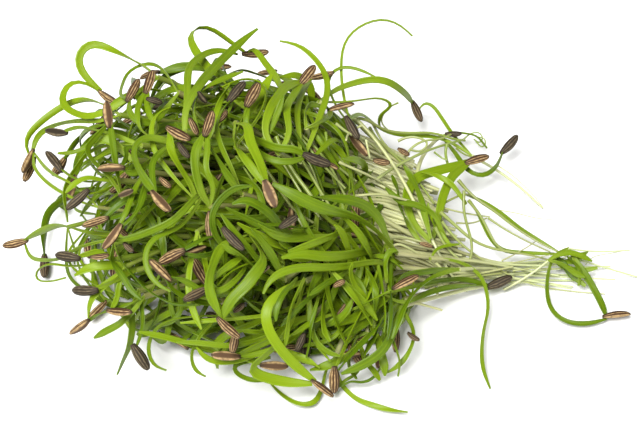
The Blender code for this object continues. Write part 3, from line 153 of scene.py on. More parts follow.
# Each sprout: its number, its neck, how far its leaves lie above the heap's surface and how much
# deeper its neck lies, its husk from its attached end to its far end, its two seed leaves from the
# tip inwards with their width in millimetres, and the stem of a loose one
SPROUTS = traced("sprout", (
    (1, (160, 76), 3, 3, ((99, 90), (118, 103)),
     (1.9, ((99, 90), (90, 83), (79, 70), (77, 55), (90, 43), (108, 48), (142, 64))),
     (1.7, ((99, 90), (88, 82), (72, 79), (63, 90), (64, 106), (92, 116), (130, 96)))),
    (2, (120, 110), -1, 3, ((34, 158), (25, 180)),
     (1.6, ((34, 158), (26, 142), (36, 126), (62, 106), (84, 98), (105, 102))),
     (1.4, ((34, 158), (37, 138), (50, 127), (72, 121), (100, 118)))),
    (3, (122, 196), 3, 6, ((110, 127), (107, 101)),
     (1.5, ((110, 127), (113, 145), (116, 165))),
     (1.6, ((110, 127), (98, 138), (88, 150), (97, 164), (110, 176)))),
    (4, (142, 146), 1, 5, ((66, 133), (52, 131)),
     (1.5, ((66, 133), (80, 128), (95, 130), (112, 134))),
     (1.2, ((66, 222), (64, 206), (62, 192), (67, 178), (76, 165), (86, 152), (106, 145)))),
    (5, (178, 92), 0, 5, ((128, 101), (137, 84)),
     (1.7, ((128, 101), (128, 112), (138, 122), (156, 120))),
     (0.9, ((128, 101), (121, 96), (123, 84), (130, 70), (148, 63), (163, 70)))),
    (6, (132, 160), 2, 6, ((61, 171), (47, 153)),
     (1.2, ((61, 171), (72, 178), (88, 182), (104, 178))),
     (2.2, ((58, 153), (70, 153), (84, 149), (96, 141), (110, 140)))),
    (7, (268, 116), 0, 4, ((243, 54), (274, 50)),
     (2.0, ((243, 54), (228, 42), (206, 25), (188, 31), (196, 52), (220, 80), (245, 106))),
     (1.7, ((243, 54), (251, 47), (264, 62), (276, 78), (282, 96)))),
    (8, (182, 130), 2, 5, None,
     (2.3, ((258, 29), (245, 39), (230, 53), (212, 71), (197, 88), (184, 108))),
     (1.8, ((238, 55), (222, 51), (206, 55), (190, 68), (187, 92)))),
    (10, (236, 146), 2, 5, None,
     (2.2, ((272, 74), (262, 88), (252, 101), (243, 115), (236, 130))),
     (1.2, ((222, 87), (236, 81), (252, 80), (266, 88), (262, 112)))),
    (11, (274, 154), 3, 6, ((300, 84), (313, 68)),
     (2.2, ((300, 84), (287, 87), (276, 99), (265, 114), (260, 136))),
     (1.7, ((300, 84), (291, 97), (285, 110), (286, 134)))),
    (12, (306, 160), 1, 6, ((310, 77), (323, 74)),
     (1.5, ((280, 41), (298, 45), (314, 58), (326, 77), (326, 98), (319, 120), (312, 146))),
     (1.5, ((310, 77), (302, 92), (298, 110), (302, 134)))),
    (13, (208, 206), 4, 7, ((205, 135), (211, 117)),
     (2.0, ((205, 135), (197, 150), (195, 168), (200, 192))),
     (1.4, ((205, 135), (206, 152), (205, 168), (212, 188)))),
    (14, (196, 202), 2, 7, ((168, 128), (190, 140)),
     (1.8, ((168, 128), (171, 150), (179, 166), (190, 184))),
     (1.2, ((170, 107), (158, 112), (151, 126), (154, 150), (172, 176)))),
    (15, (243, 194), 2, 6, ((229, 101), (242, 85)),
     (1.5, ((229, 101), (220, 112), (216, 128), (222, 148), (232, 168))),
     (1.8, ((203, 138), (211, 149), (219, 161), (227, 174), (236, 186)))),
    (16, (236, 120), 5, 6, ((265, 182), (275, 206)),
     (2.2, ((265, 182), (261, 166), (256, 152), (252, 138), (250, 124))),
     (1.8, ((265, 182), (253, 166), (243, 153), (236, 140)))),
    (17, (244, 130), 3, 7, ((305, 155), (325, 163)),
     (1.8, ((305, 155), (294, 148), (280, 146), (264, 140))),
     (1.5, ((305, 155), (290, 160), (272, 158), (256, 148)))),
    (19, (350, 126), 0, 2, None,
     (0.9, ((413, 36), (400, 24), (382, 18), (358, 26), (343, 44), (341, 76), (345, 106))),
     (0.8, ((378, 78), (366, 72), (350, 67), (336, 69), (328, 82), (336, 106)))),
    (20, (324, 108), 2, 4, ((413, 102), (420, 117)),
     (1.7, ((413, 102), (404, 92), (388, 81), (372, 79), (356, 83), (338, 91))),
     (0.9, ((384, 131), (379, 125), (382, 114), (394, 105), (380, 98), (350, 104)))),
    (21, (474, 152), 1, 1, ((346, 118), (359, 140)),
     (1.3, ((346, 118), (362, 114), (378, 127), (394, 134), (414, 135), (440, 136), (458, 143))),
     (0.9, ((419, 110), (425, 102), (434, 106), (443, 118), (455, 134))),
     ((499, 163), (520, 181), (535, 198), (543, 208))),
    (22, (430, 240), 2, 2, ((467, 163), (490, 156)),
     (2.4, ((467, 163), (452, 168), (434, 172), (416, 178), (406, 196), (412, 222))),
     (2.2, ((467, 163), (453, 174), (445, 190), (440, 208), (436, 226)))),
    (23, (440, 132), 1, 1, ((501, 153), (513, 140)),
     (1.2, ((501, 153), (495, 168), (482, 176), (468, 170), (454, 150))),
     (0.9, ((487, 148), (477, 136), (465, 132), (452, 130))),
     ((424, 150), (412, 172), (414, 196), (430, 222))),
    (24, (562, 257), 0, 0, None,
     (0.9, ((464, 194), (480, 200), (500, 212), (520, 228), (540, 241), (553, 250))),
     (1.1, ((474, 206), (482, 222), (490, 238), (502, 250), (524, 253), (548, 255))),
     ((582, 264), (605, 271), (638, 277))),
    (25, (567, 250), 1, 0, ((604, 317), (632, 314)),
     (1.7, ((604, 317), (600, 303), (593, 288), (586, 276), (576, 262))),
     (1.2, ((604, 317), (584, 323), (562, 320), (548, 304), (547, 276), (554, 256))),
     ((590, 255), (610, 253), (630, 250))),
    (26, (546, 262), 1, 0, None,
     (1.3, ((592, 262), (580, 257), (568, 254), (556, 256))),
     (1.4, ((584, 277), (574, 273), (565, 267), (556, 263))),
     ((532, 276), (518, 284), (502, 290))),
    (27, (382, 296), 1, 3, ((488, 287), (511, 277)),
     (1.3, ((488, 287), (466, 286), (444, 288), (424, 295), (402, 305))),
     (1.2, ((488, 287), (462, 280), (436, 282), (412, 288)))),
    (28, (424, 258), 2, 2, None,
     (1.2, ((489, 387), (481, 363), (482, 330), (487, 305), (480, 276), (458, 262), (440, 259))),
     (0.9, ((459, 244), (446, 246), (434, 250)))),
    (29, (130, 237), 1, 6, ((26, 241), (1, 246)),
     (2.1, ((26, 241), (40, 232), (53, 226), (66, 226), (82, 232), (106, 236))),
     (1.1, ((26, 241), (30, 256), (42, 260), (60, 259), (76, 248), (100, 242)))),
    (30, (116, 258), 1, 6, ((80, 258), (66, 256)),
     (0.9, ((66, 278), (50, 282), (36, 280), (38, 269), (52, 263), (72, 265), (96, 262))),
     (1.4, ((80, 258), (90, 254), (100, 252)))),
    (31, (122, 186), 3, 6, ((87, 190), (73, 203)),
     (1.5, ((66, 192), (76, 184), (90, 180), (106, 184))),
     (1.3, ((87, 190), (97, 192), (108, 190)))),
    (33, (146, 172), 4, 7, ((120, 225), (107, 243)),
     (1.2, ((120, 225), (126, 214), (130, 202), (136, 186))),
     (1.5, ((120, 225), (132, 216), (139, 206), (144, 190)))),
    (34, (210, 192), 3, 7, None,
     (1.6, ((112, 241), (132, 238), (152, 231), (172, 222), (188, 208), (200, 196))),
     (1.2, ((172, 291), (158, 284), (149, 272), (145, 256), (154, 238), (184, 224)))),
    (35, (116, 236), 1, 6, None,
     (1.4, ((141, 300), (131, 290), (122, 275), (113, 258))),
     (1.1, ((196, 304), (178, 305), (160, 298), (144, 287), (131, 272), (120, 256)))),
    (37, (220, 304), 1, 7, ((170, 280), (157, 267)),
     (1.6, ((170, 280), (176, 291), (190, 299), (206, 304))),
     (1.4, ((170, 280), (184, 282), (198, 290), (210, 298)))),
    (39, (174, 148), 4, 6, ((153, 192), (168, 209)),
     (2.2, ((153, 192), (142, 175), (134, 154), (142, 140), (160, 141))),
     (1.4, ((153, 192), (150, 176), (152, 162), (162, 152)))),
    (41, (136, 268), 1, 7, ((97, 290), (82, 290)),
     (2.0, ((75, 275), (86, 268), (99, 264), (116, 263))),
     (1.7, ((97, 290), (108, 284), (118, 278), (126, 272)))),
    (42, (388, 252), 4, 6, None,
     (2.7, ((273, 184), (291, 193), (310, 203), (331, 210), (354, 216), (374, 230))),
     (2.2, ((298, 194), (320, 198), (345, 200), (364, 206), (377, 220), (381, 236)))),
    (43, (386, 244), 3, 7, None,
     (2.0, ((288, 252), (310, 245), (331, 237), (352, 229), (370, 232))),
     (2.2, ((280, 258), (300, 254), (322, 257), (345, 256), (368, 250)))),
    (44, (396, 268), 2, 6, None,
     (1.8, ((263, 294), (268, 281), (281, 272), (300, 267), (322, 267), (346, 266), (376, 262))),
     (1.8, ((350, 206), (361, 222), (370, 238), (379, 252)))),
    (45, (296, 240), 3, 7, None,
     (1.8, ((225, 207), (237, 214), (251, 221), (266, 228), (282, 236))),
     (2.2, ((232, 204), (245, 200), (258, 205), (270, 214), (281, 227)))),
    (46, (286, 280), 2, 6, None,
     (1.8, ((250, 227), (256, 240), (263, 252), (273, 266))),
     (1.7, ((221, 214), (232, 226), (244, 238), (256, 250), (268, 266)))),
    (48, (448, 266), 4, 1, ((393, 291), (409, 281)),
     (1.8, ((393, 291), (398, 278), (412, 272), (430, 268))),
     (1.8, ((391, 340), (397, 322), (402, 305), (410, 290), (422, 276), (438, 268)))),
    (49, (328, 258), 1, 8, None,
     (1.6, ((378, 321), (369, 308), (357, 295), (344, 283), (333, 272))),
     (1.8, ((347, 346), (339, 328), (333, 310), (329, 292), (328, 276)))),
    (50, (248, 236), 4, 7, ((219, 318), (236, 334)),
     (2.1, ((219, 318), (211, 300), (208, 284), (212, 267), (222, 247))),
     (2.5, ((219, 318), (230, 299), (244, 286), (256, 272), (264, 258)))),
    (51, (308, 314), 2, 7, ((238, 357), (217, 356)),
     (2.0, ((238, 357), (253, 350), (268, 342), (281, 332), (294, 320))),
     (1.4, ((238, 357), (250, 357), (266, 352), (282, 344), (298, 330)))),
    (52, (308, 280), 3, 7, ((312, 380), (334, 396)),
     (2.2, ((312, 380), (294, 364), (277, 344), (266, 322), (269, 302), (290, 286))),
     (2.4, ((312, 380), (288, 380), (262, 375), (250, 367), (268, 353), (290, 326)))),
    (53, (336, 356), 1, 4, None,
     (1.2, ((271, 384), (282, 395), (298, 404), (314, 403), (322, 388), (326, 370))),
     (1.3, ((408, 412), (390, 410), (372, 405), (356, 399), (342, 386), (336, 372)))),
    (54, (400, 296), 3, 6, None,
     (2.6, ((338, 371), (350, 356), (364, 341), (377, 327), (390, 311))),
     (2.1, ((341, 374), (356, 368), (371, 360), (383, 349), (391, 333), (397, 314)))),
    (55, (398, 306), 1, 5, None,
     (2.0, ((398, 376), (400, 362), (396, 348), (391, 334), (392, 318))),
     (1.2, ((385, 374), (398, 366), (409, 352), (414, 334), (408, 318)))),
    (56, (144, 296), 1, 6, ((88, 321), (76, 330)),
     (1.3, ((88, 321), (98, 314), (112, 309), (128, 304))),
     (1.6, ((94, 338), (106, 331), (119, 324), (132, 312)))),
    (57, (138, 290), 0, 6, ((133, 346), (141, 358)),
     (1.8, ((117, 375), (123, 361), (129, 347), (132, 330), (132, 308))),
     (1.3, ((133, 346), (140, 332), (142, 316)))),
))


def unit(vectors):
    """Vectors of length one along the last axis."""
    lengths = np.linalg.norm(vectors, axis=-1, keepdims=True)
    return vectors / np.maximum(lengths, 1e-9)


ACROSS = np.array((1.0, 0.0, 0.0))
UP_PICTURE = np.array((0.0, math.sin(SIGHT_ELEVATION), math.cos(SIGHT_ELEVATION)))
TO_VIEWER = np.array((0.0, -math.cos(SIGHT_ELEVATION), math.sin(SIGHT_ELEVATION)))


def along_sight(point, nearness):
    """The places seen at a picture point, for each nearness to the viewer in millimetres."""
    u = (point[0] - PICTURE_MIDDLE[0]) / POINTS_PER_MM
    v = (PICTURE_MIDDLE[1] - point[1]) / POINTS_PER_MM
    nearness = np.asarray(nearness, float)[..., None]
    in_plane = (u * ACROSS + v * UP_PICTURE) * (1.0 - nearness / SIGHT_DISTANCE)
    return in_plane + nearness * TO_VIEWER


def fullness(places):
    """Under 1 inside the heap, its slope, the band or the tail, and more outside them all."""
    found = []
    for (x, y), (rx, ry, rz) in SHAPES:
        scaled = (places - np.array((x, y, 0.0))) / np.array((rx, ry, rz))
        found.append(np.linalg.norm(scaled, axis=-1))
    return np.min(found, axis=0)


def nearness_on_heap(point, lift):
    """How near the viewer the sight line of a picture point meets the bunch, moved nearer by lift."""
    steps = np.arange(-70.0, 70.0, 0.5)
    full = fullness(along_sight(point, steps))
    inside = np.nonzero(full <= 1.0)[0]
    found = inside[-1] if len(inside) else np.argmin(full)
    return steps[found] + lift


def at_nearness(point, nearness, least_height):
    """The place of a picture point at some nearness, or nearer where it would be too low."""
    place = along_sight(point, nearness)
    if place[2] < least_height:
        place = along_sight(point, nearness + (least_height - place[2]) / TO_VIEWER[2])
    return place


def on_heap(point, lift, least_height):
    """The place where the sight line of a picture point meets the bunch, moved nearer by lift."""
    return at_nearness(point, nearness_on_heap(point, lift), least_height)


def even_depths(depths, joined):
    """Depths along a leaf with their jumps evened out. The neck's stays, and a joined tip's too."""
    depths = np.array(depths, float)
    for _ in range(DEPTH_ROUNDS):
        calm = depths.copy()
        calm[1:-1] = 0.25 * depths[:-2] + 0.5 * depths[1:-1] + 0.25 * depths[2:]
        if not joined:
            calm[0] = 0.5 * (depths[0] + depths[1])
        depths = calm
    return depths


def smooth_route(knots, count):
    """Evenly spaced places on a smooth curve through the knots."""
    knots = np.asarray(knots, float)
    ends = np.vstack((2 * knots[0] - knots[1], knots, 2 * knots[-1] - knots[-2]))
    dense = []
    for k in range(len(knots) - 1):
        p0, p1, p2, p3 = ends[k:k + 4]
        for t in np.linspace(0.0, 1.0, 12, endpoint=False):
            dense.append(
                0.5 * (
                    2 * p1 + (p2 - p0) * t
                    + (2 * p0 - 5 * p1 + 4 * p2 - p3) * t * t
                    + (3 * p1 - p0 - 3 * p2 + p3) * t ** 3
                )
            )
    dense.append(knots[-1])
    dense = np.array(dense)
    walked = np.concatenate(((0.0,), np.cumsum(np.linalg.norm(np.diff(dense, axis=0), axis=1))))
    wanted = np.linspace(0.0, walked[-1], count)
    return np.stack([np.interp(wanted, walked, dense[:, k]) for k in range(3)], axis=1)


def leaf_breadth(share, width):
    """Half the width of a seed leaf, where share runs from 0 at the tip to 1 at the neck."""
    full = 0.5 * width
    tip = min(1.0, TIP_SHARE + TIP_RISE * share)
    base = 1.0 if share < FULL_TO else 1.0 - BASE_THINNING * (share - FULL_TO) / (1.0 - FULL_TO)
    return max(full * tip * base, LEAST_HALF_BREADTH)


class Bunch:
    """All the sprouts as chains of places that settle clear of each other."""

    def __init__(self):
        self.places = []
        self.reach = []
        self.pull = []
        self.fixed = []
        self.runs = {}

    def add(self, place, reach, pull=0.0, fixed=False):
        self.places.append(np.array(place, float))
        self.reach.append(reach)
        self.pull.append(pull)
        self.fixed.append(fixed)
        return len(self.places) - 1

    def run(self, name, kind, indices, width=0.0, knots=None):
        planned = np.array([self.places[i] for i in indices])
        self.runs[name] = {
            "kind": kind, "indices": indices, "width": width, "knots": knots, "planned": planned,
        }


def plan_sprout(bunch, name, sprout):
    """Adds one traced sprout's neck, seed leaves and husk."""
    neck_depth = nearness_on_heap(sprout["neck"], sprout["lift"] - sprout["dip"])
    neck = at_nearness(sprout["neck"], neck_depth, LOWEST_NECK)
    neck_index = bunch.add(neck, NECK_REACH, NECK_HOLD)
    husk_root = None
    if sprout["husk"]:
        near, far = sprout["husk"]
        near_depth = nearness_on_heap(near, sprout["lift"] + 0.5)
        far_depth = nearness_on_heap(far, sprout["lift"] + 1.0)
        far_depth = min(max(far_depth, near_depth - HUSK_SLOPE), near_depth + HUSK_SLOPE)
        root = at_nearness(near, near_depth, LOWEST_HUSK)
        end = at_nearness(far, far_depth, LOWEST_HUSK)
        husk_root = bunch.add(root, HUSK_ROOT_REACH, HUSK_HOLD)
        husk_end = bunch.add(root + HUSK_LENGTH * unit(end - root), HUSK_END_REACH, HUSK_HOLD)
        bunch.run(name + ".husk", "husk", [husk_root, husk_end])
    for key in ("a", "b"):
        width, points = sprout[key]
        count = len(points)
        joined = bool(sprout["husk"]) and points[0] == sprout["husk"][0]
        depths = []
        for k, point in enumerate(points):
            sink = max(0.0, (k - (count - 3)) / 3.0) * sprout["dip"] * 0.5
            depths.append(nearness_on_heap(point, sprout["lift"] - sink))
        depths = even_depths(depths + [neck_depth], joined)
        knots = [at_nearness(point, depth, LOWEST_LEAF) for point, depth in zip(points, depths)]
        knots.append(neck)
        steps = round(route_length(knots) / LEAF_STEP)
        steps = max(LEAST_LEAF_STEPS, min(MOST_LEAF_STEPS, steps))
        route = smooth_route(knots, steps + 1)
        indices = [husk_root] if joined else []
        for k in range(len(indices), steps):
            half = leaf_breadth(k / steps, width)
            hold = LEAF_HOLD if k < steps - 2 else LEAF_END_HOLD
            indices.append(bunch.add(route[k], half + 0.5 * CLEARANCE, hold))
        indices.append(neck_index)
        bunch.run(name + "." + key, "leaf", indices, width, knots)
    return neck_index


def route_length(knots):
    """The length of straight runs from knot to knot."""
    return float(np.sum(np.linalg.norm(np.diff(np.asarray(knots), axis=0), axis=1)))


def held_in(place, shape, most):
    """A place moved inside a share of a shape, and above the floor."""
    (x, y), size = shape
    middle = np.array((x, y, 0.0))
    over = np.linalg.norm((place - middle) / np.array(size)) / most
    if over > 1.0:
        place = middle + (place - middle) / over
    place[2] = max(place[2], BACK_LOWEST)
    return place


def plan_back(bunch, name, turn, climb, draw):
    """Adds an untraced node: seed leaves of a few sprouts that spread from one place."""
    (x, y), size = BACK_SHAPE
    outward = np.array((math.cos(turn) * math.cos(climb), math.sin(turn) * math.cos(climb), math.sin(climb)))
    neck = np.array((x, y, 0.0)) + BACK_NECK * outward * np.array(size)
    neck[2] = max(neck[2], 2.0)
    neck_index = bunch.add(neck, NECK_REACH, LOOSE)
    side = unit(np.cross(outward, (0.0, 0.0, 1.0)))
    up = np.cross(side, outward)
    for k in range(BACK_LEAVES):
        angle = 2.0 * math.pi * (k + draw.uniform(-0.25, 0.25)) / BACK_LEAVES
        along = math.cos(angle) * side + math.sin(angle) * up
        bend = draw.uniform(0.25, 0.75)
        knots = [neck, neck + 0.3 * LEAF_LENGTH * unit(outward + 0.7 * along)]
        knots.append(knots[-1] + 0.35 * LEAF_LENGTH * unit(bend * outward + along))
        knots.append(knots[-1] + 0.35 * LEAF_LENGTH * unit(along - 0.5 * outward))
        knots = [held_in(knot.copy(), BACK_SHAPE, 1.0) for knot in knots]
        route = smooth_route(knots[::-1], BACK_LEAF_STEPS + 1)
        width = draw.uniform(1.8, 2.3)
        indices = []
        for step in range(BACK_LEAF_STEPS):
            half = leaf_breadth(step / BACK_LEAF_STEPS, width)
            indices.append(bunch.add(route[step], half + 0.5 * CLEARANCE, LOOSE))
        indices.append(neck_index)
        bunch.run(f"{name}.{k}", "leaf", indices, width)
        if k % 2 == 0:
            root = indices[0]
            tip = bunch.places[root] + HUSK_LENGTH * unit(route[0] - route[1])
            tip[2] = max(tip[2], LOWEST_HUSK)
            husk_end = bunch.add(tip, HUSK_END_REACH, LOOSE)
            bunch.reach[root] = HUSK_ROOT_REACH
            bunch.run(f"{name}.husk{k}", "husk", [root, husk_end])
    return neck_index


def stem_course(share):
    """The way the stems run, where share runs from 0 to 1 along the cut edge."""
    angle = math.radians(CUT_COURSES[0] + share * (CUT_COURSES[1] - CUT_COURSES[0]))
    return np.array((math.cos(angle), math.sin(angle), 0.0))


def field_columns(count):
    """For each column of stems along the cut edge: its share of the way, and how many it holds."""
    edge = CUT_FAR - CUT_NEAR
    slant = abs(np.cross(stem_course(0.5), unit(edge))[2])
    columns = int(np.linalg.norm(edge) * slant / FIELD_PITCH)
    shares = (np.arange(columns) + 0.5) / columns
    room = 1.0 + FIELD_HEIGHT * np.sqrt(1.0 - (2.0 * shares - 1.0) ** 2)
    ends = np.rint(np.cumsum(room) / room.sum() * count).astype(int)
    return list(zip(shares, np.diff(ends, prepend=0)))


def field_seat(share, row):
    """A place in the stack, where share runs from 0 to 1 along the cut edge."""
    foot = CUT_NEAR + share * (CUT_FAR - CUT_NEAR) - CUT_REACH * stem_course(share)
    return foot + np.array((0.0, 0.0, LOWEST_STEM + FIELD_STEP * row))


def field_seats(starts):
    """A place and a way in the stack for each stem: near ones stay near and low ones stay low."""
    order = list(np.argsort(starts @ (CUT_FAR - CUT_NEAR), kind="stable"))
    seats = {}
    for share, held in field_columns(len(starts)):
        members = sorted(order[:held], key=lambda k: starts[k, 2])
        order = order[held:]
        for row, k in enumerate(members):
            seats[k] = (field_seat(share, row), stem_course(share))
    return seats


def waist_seats(starts):
    """A place in the narrow place for each stem that goes on through it."""
    x, y = WAIST
    order = list(np.argsort(starts[:, 2], kind="stable"))
    seats = {}
    row = 0
    while order:
        members = sorted(order[:WAIST_ROW], key=lambda k: starts[k, 1])
        order = order[WAIST_ROW:]
        for column, k in enumerate(members):
            aside = WAIST_PITCH * (column - 0.5 * (len(members) - 1))
            seats[k] = np.array((x, y + aside, LOWEST_STEM + WAIST_PITCH * row))
        row += 1
    return seats


def plan_stems(bunch, necks, draw):
    """Adds a stem from each neck: to the slanting cut edge, or on through the narrow place."""
    names = list(necks)
    starts = np.array([bunch.places[necks[name]] for name in names])
    beside = [k for k in range(len(names)) if starts[k, 0] > BESIDE_FROM]
    through = [k for k in range(len(names)) if k not in beside]
    seats = {through[k]: place for k, place in field_seats(starts[through]).items()}
    nearest = sorted(through, key=lambda k: seats[k][0] @ (CUT_FAR - CUT_NEAR))[:WAIST_STEMS]
    going_on = nearest + beside
    lead = np.array([seats[k][0] if k in seats else starts[k] for k in going_on])
    waisted = {going_on[k]: place for k, place in waist_seats(lead).items()}
    for k, name in enumerate(names):
        knots = [starts[k]]
        pins = []
        if k in seats:
            seat, course = seats[k]
            knots.append(seat + STEM_APPROACH * draw.uniform(0.8, 1.2) * (0.25 * TO_VIEWER - course))
            knots.append(seat)
            pins.append(seat)
        if k in waisted:
            knots.append(waisted[k])
            pins.append(waisted[k])
            turn = math.radians(draw.uniform(*TAIL_TURNS))
            tail = waisted[k] + draw.choice(TAIL_LENGTHS) * np.array((math.cos(turn), math.sin(turn), 0.0))
            tail[2] = max(LOWEST_STEM, 0.6 * waisted[k][2])
            knots.append(tail)
        else:
            end = seat + draw.uniform(*CUT_SPREAD) * course
            end[2] = max(LOWEST_STEM, 0.9 * seat[2])
            knots.append(end)
        route = smooth_route(knots, STEM_STEPS + 1)
        indices = [necks[name]]
        for place in route[1:]:
            place[2] = max(place[2], LOWEST_STEM)
            indices.append(bunch.add(place, 0.5 * STEM_WIDTH + 0.4 * CLEARANCE, LOOSE))
        for pin in pins:
            near = min(indices[1:], key=lambda i: np.linalg.norm(bunch.places[i] - pin))
            bunch.places[near] = pin.copy()
            bunch.fixed[near] = True
        bunch.run(name + ".stem", "stem", indices)


def plan_own_stem(bunch, name, sprout, neck_index):
    """Adds the stem of a sprout that lies outside the gathered bunch."""
    knots = [bunch.places[neck_index]]
    for point in sprout["stem"]:
        knots.append(on_heap(point, 0.0, LOWEST_STEM))
    steps = max(3, round(route_length(knots) / 6.0))
    route = smooth_route(knots, steps + 1)
    indices = [neck_index]
    for place in route[1:]:
        indices.append(bunch.add(place, 0.5 * STEM_WIDTH + 0.5 * CLEARANCE, STEM_HOLD))
    bunch.run(name + ".stem", "own stem", indices)


def closest(p, q, r, s):
    """The closest places of segments p-q and r-s, as shares along each."""
    d1 = q - p
    d2 = s - r
    between = p - r
    a = np.einsum("ij,ij->i", d1, d1) + 1e-12
    e = np.einsum("ij,ij->i", d2, d2) + 1e-12
    f = np.einsum("ij,ij->i", d2, between)
    c = np.einsum("ij,ij->i", d1, between)
    b = np.einsum("ij,ij->i", d1, d2)
    bottom = a * e - b * b
    t1 = np.where(bottom > 1e-9, np.clip((b * f - c * e) / np.maximum(bottom, 1e-9), 0.0, 1.0), 0.5)
    t2 = np.clip((b * t1 + f) / e, 0.0, 1.0)
    t1 = np.clip((b * t2 - c) / a, 0.0, 1.0)
    return t1, t2


def segment_table(bunch):
    """Segments as index pairs, with the number of the run that each belongs to."""
    pairs = []
    owners = []
    for number, run in enumerate(bunch.runs.values()):
        for i, j in zip(run["indices"], run["indices"][1:]):
            pairs.append((i, j))
            owners.append(number)
    return np.array(pairs), np.array(owners)


def near_pairs(places, pairs, owners, reach, slack):
    """Pairs of segments of different runs that may touch, without those that share an end."""
    middle = 0.5 * (places[pairs[:, 0]] + places[pairs[:, 1]])
    half = 0.5 * np.linalg.norm(places[pairs[:, 0]] - places[pairs[:, 1]], axis=1)
    wide = np.maximum(reach[pairs[:, 0]], reach[pairs[:, 1]])
    size = half + wide + slack
    first, second = [], []
    for k in range(len(pairs) - 1):
        gap = np.linalg.norm(middle[k + 1:] - middle[k], axis=1)
        hits = np.nonzero((gap < size[k + 1:] + size[k]) & (owners[k + 1:] != owners[k]))[0]
        first.append(np.full(len(hits), k))
        second.append(hits + k + 1)
    first = np.concatenate(first)
    second = np.concatenate(second)
    return without_shared(pairs, first, second)


def without_shared(pairs, first, second):
    """The listed pairs of segments that have no end in common."""
    shared = (
        (pairs[first, 0] == pairs[second, 0]) | (pairs[first, 0] == pairs[second, 1])
        | (pairs[first, 1] == pairs[second, 0]) | (pairs[first, 1] == pairs[second, 1])
    )
    return first[~shared], second[~shared]


def moving_pairs(places, pairs, owners, reach, slack, free):
    """As near_pairs, for a large bunch: held pairs and those further apart than the slack are left out."""
    middle = 0.5 * (places[pairs[:, 0]] + places[pairs[:, 1]])
    half = 0.5 * np.linalg.norm(places[pairs[:, 0]] - places[pairs[:, 1]], axis=1)
    wide = np.maximum(reach[pairs[:, 0]], reach[pairs[:, 1]])
    size = half + wide + slack
    moving = free[pairs[:, 0]] + free[pairs[:, 1]] > 0.0
    order = np.argsort(middle[:, 0])
    sorted_x = middle[order, 0]
    widest = size.max()
    ends = np.searchsorted(sorted_x, sorted_x + size[order] + widest)
    first, second = [], []
    for n in range(len(order) - 1):
        k = order[n]
        others = order[n + 1:ends[n]]
        gap = middle[others] - middle[k]
        near = np.einsum("ij,ij->i", gap, gap) < (size[others] + size[k]) ** 2
        near &= (owners[others] != owners[k]) & (moving[others] | moving[k])
        hits = others[near]
        first.append(np.full(len(hits), k))
        second.append(hits)
    first, second = without_shared(pairs, np.concatenate(first), np.concatenate(second))
    i, j, k, m = pairs[first, 0], pairs[first, 1], pairs[second, 0], pairs[second, 1]
    t1, t2 = closest(places[i], places[j], places[k], places[m])
    near1 = places[i] + t1[:, None] * (places[j] - places[i])
    near2 = places[k] + t2[:, None] * (places[m] - places[k])
    apart = np.linalg.norm(near1 - near2, axis=1)
    close = apart < wide[first] + wide[second] + slack
    return first[close], second[close]


def settle(bunch, settle_rounds=SETTLE_ROUNDS, clear_rounds=CLEAR_ROUNDS):
    """Moves the chains clear of each other while they keep their lengths and traced places."""
    places = np.array(bunch.places)
    wanted = places.copy()
    reach = np.array(bunch.reach)
    pull = np.array(bunch.pull)[:, None]
    free = 1.0 - np.array(bunch.fixed, float)
    pairs, owners = segment_table(bunch)
    lengths = np.linalg.norm(places[pairs[:, 0]] - places[pairs[:, 1]], axis=1)
    bends = []
    for run in bunch.runs.values():
        for i, j, k in zip(run["indices"], run["indices"][1:], run["indices"][2:]):
            bends.append((i, j, k))
    bends = np.array(bends)
    bow = places[bends[:, 1]] - 0.5 * (places[bends[:, 0]] + places[bends[:, 2]])
    held = free.mean() < HELD_SHARE
    for step in range(settle_rounds + clear_rounds):
        clearing = step >= settle_rounds
        if step % 10 == 0 and held:
            first, second = moving_pairs(places, pairs, owners, reach, 1.0, free)
        elif step % 10 == 0:
            first, second = near_pairs(places, pairs, owners, reach, 1.0)
        if not clearing:
            away = wanted - places
            away -= (away @ TO_VIEWER)[:, None] * TO_VIEWER
            places += pull * away * free[:, None]
            error = 0.5 * (places[bends[:, 0]] + places[bends[:, 2]]) + bow - places[bends[:, 1]]
            shift = np.zeros_like(places)
            np.add.at(shift, bends[:, 1], 0.2 * error)
            places += shift * free[:, None]
        for _ in range(2):
            span = places[pairs[:, 1]] - places[pairs[:, 0]]
            long = np.maximum(np.linalg.norm(span, axis=1), 1e-9)
            weight = free[pairs[:, 0]] + free[pairs[:, 1]] + 1e-9
            move = (0.6 * (long - lengths) / long / weight)[:, None] * span
            shift = np.zeros_like(places)
            np.add.at(shift, pairs[:, 0], move * free[pairs[:, 0], None])
            np.add.at(shift, pairs[:, 1], -move * free[pairs[:, 1], None])
            places += 0.8 * shift
        push_apart(places, pairs, first, second, reach, free, 0.9)
        places[:, 2] = np.maximum(places[:, 2], np.minimum(reach, 1.0))
    bunch.places = list(places)


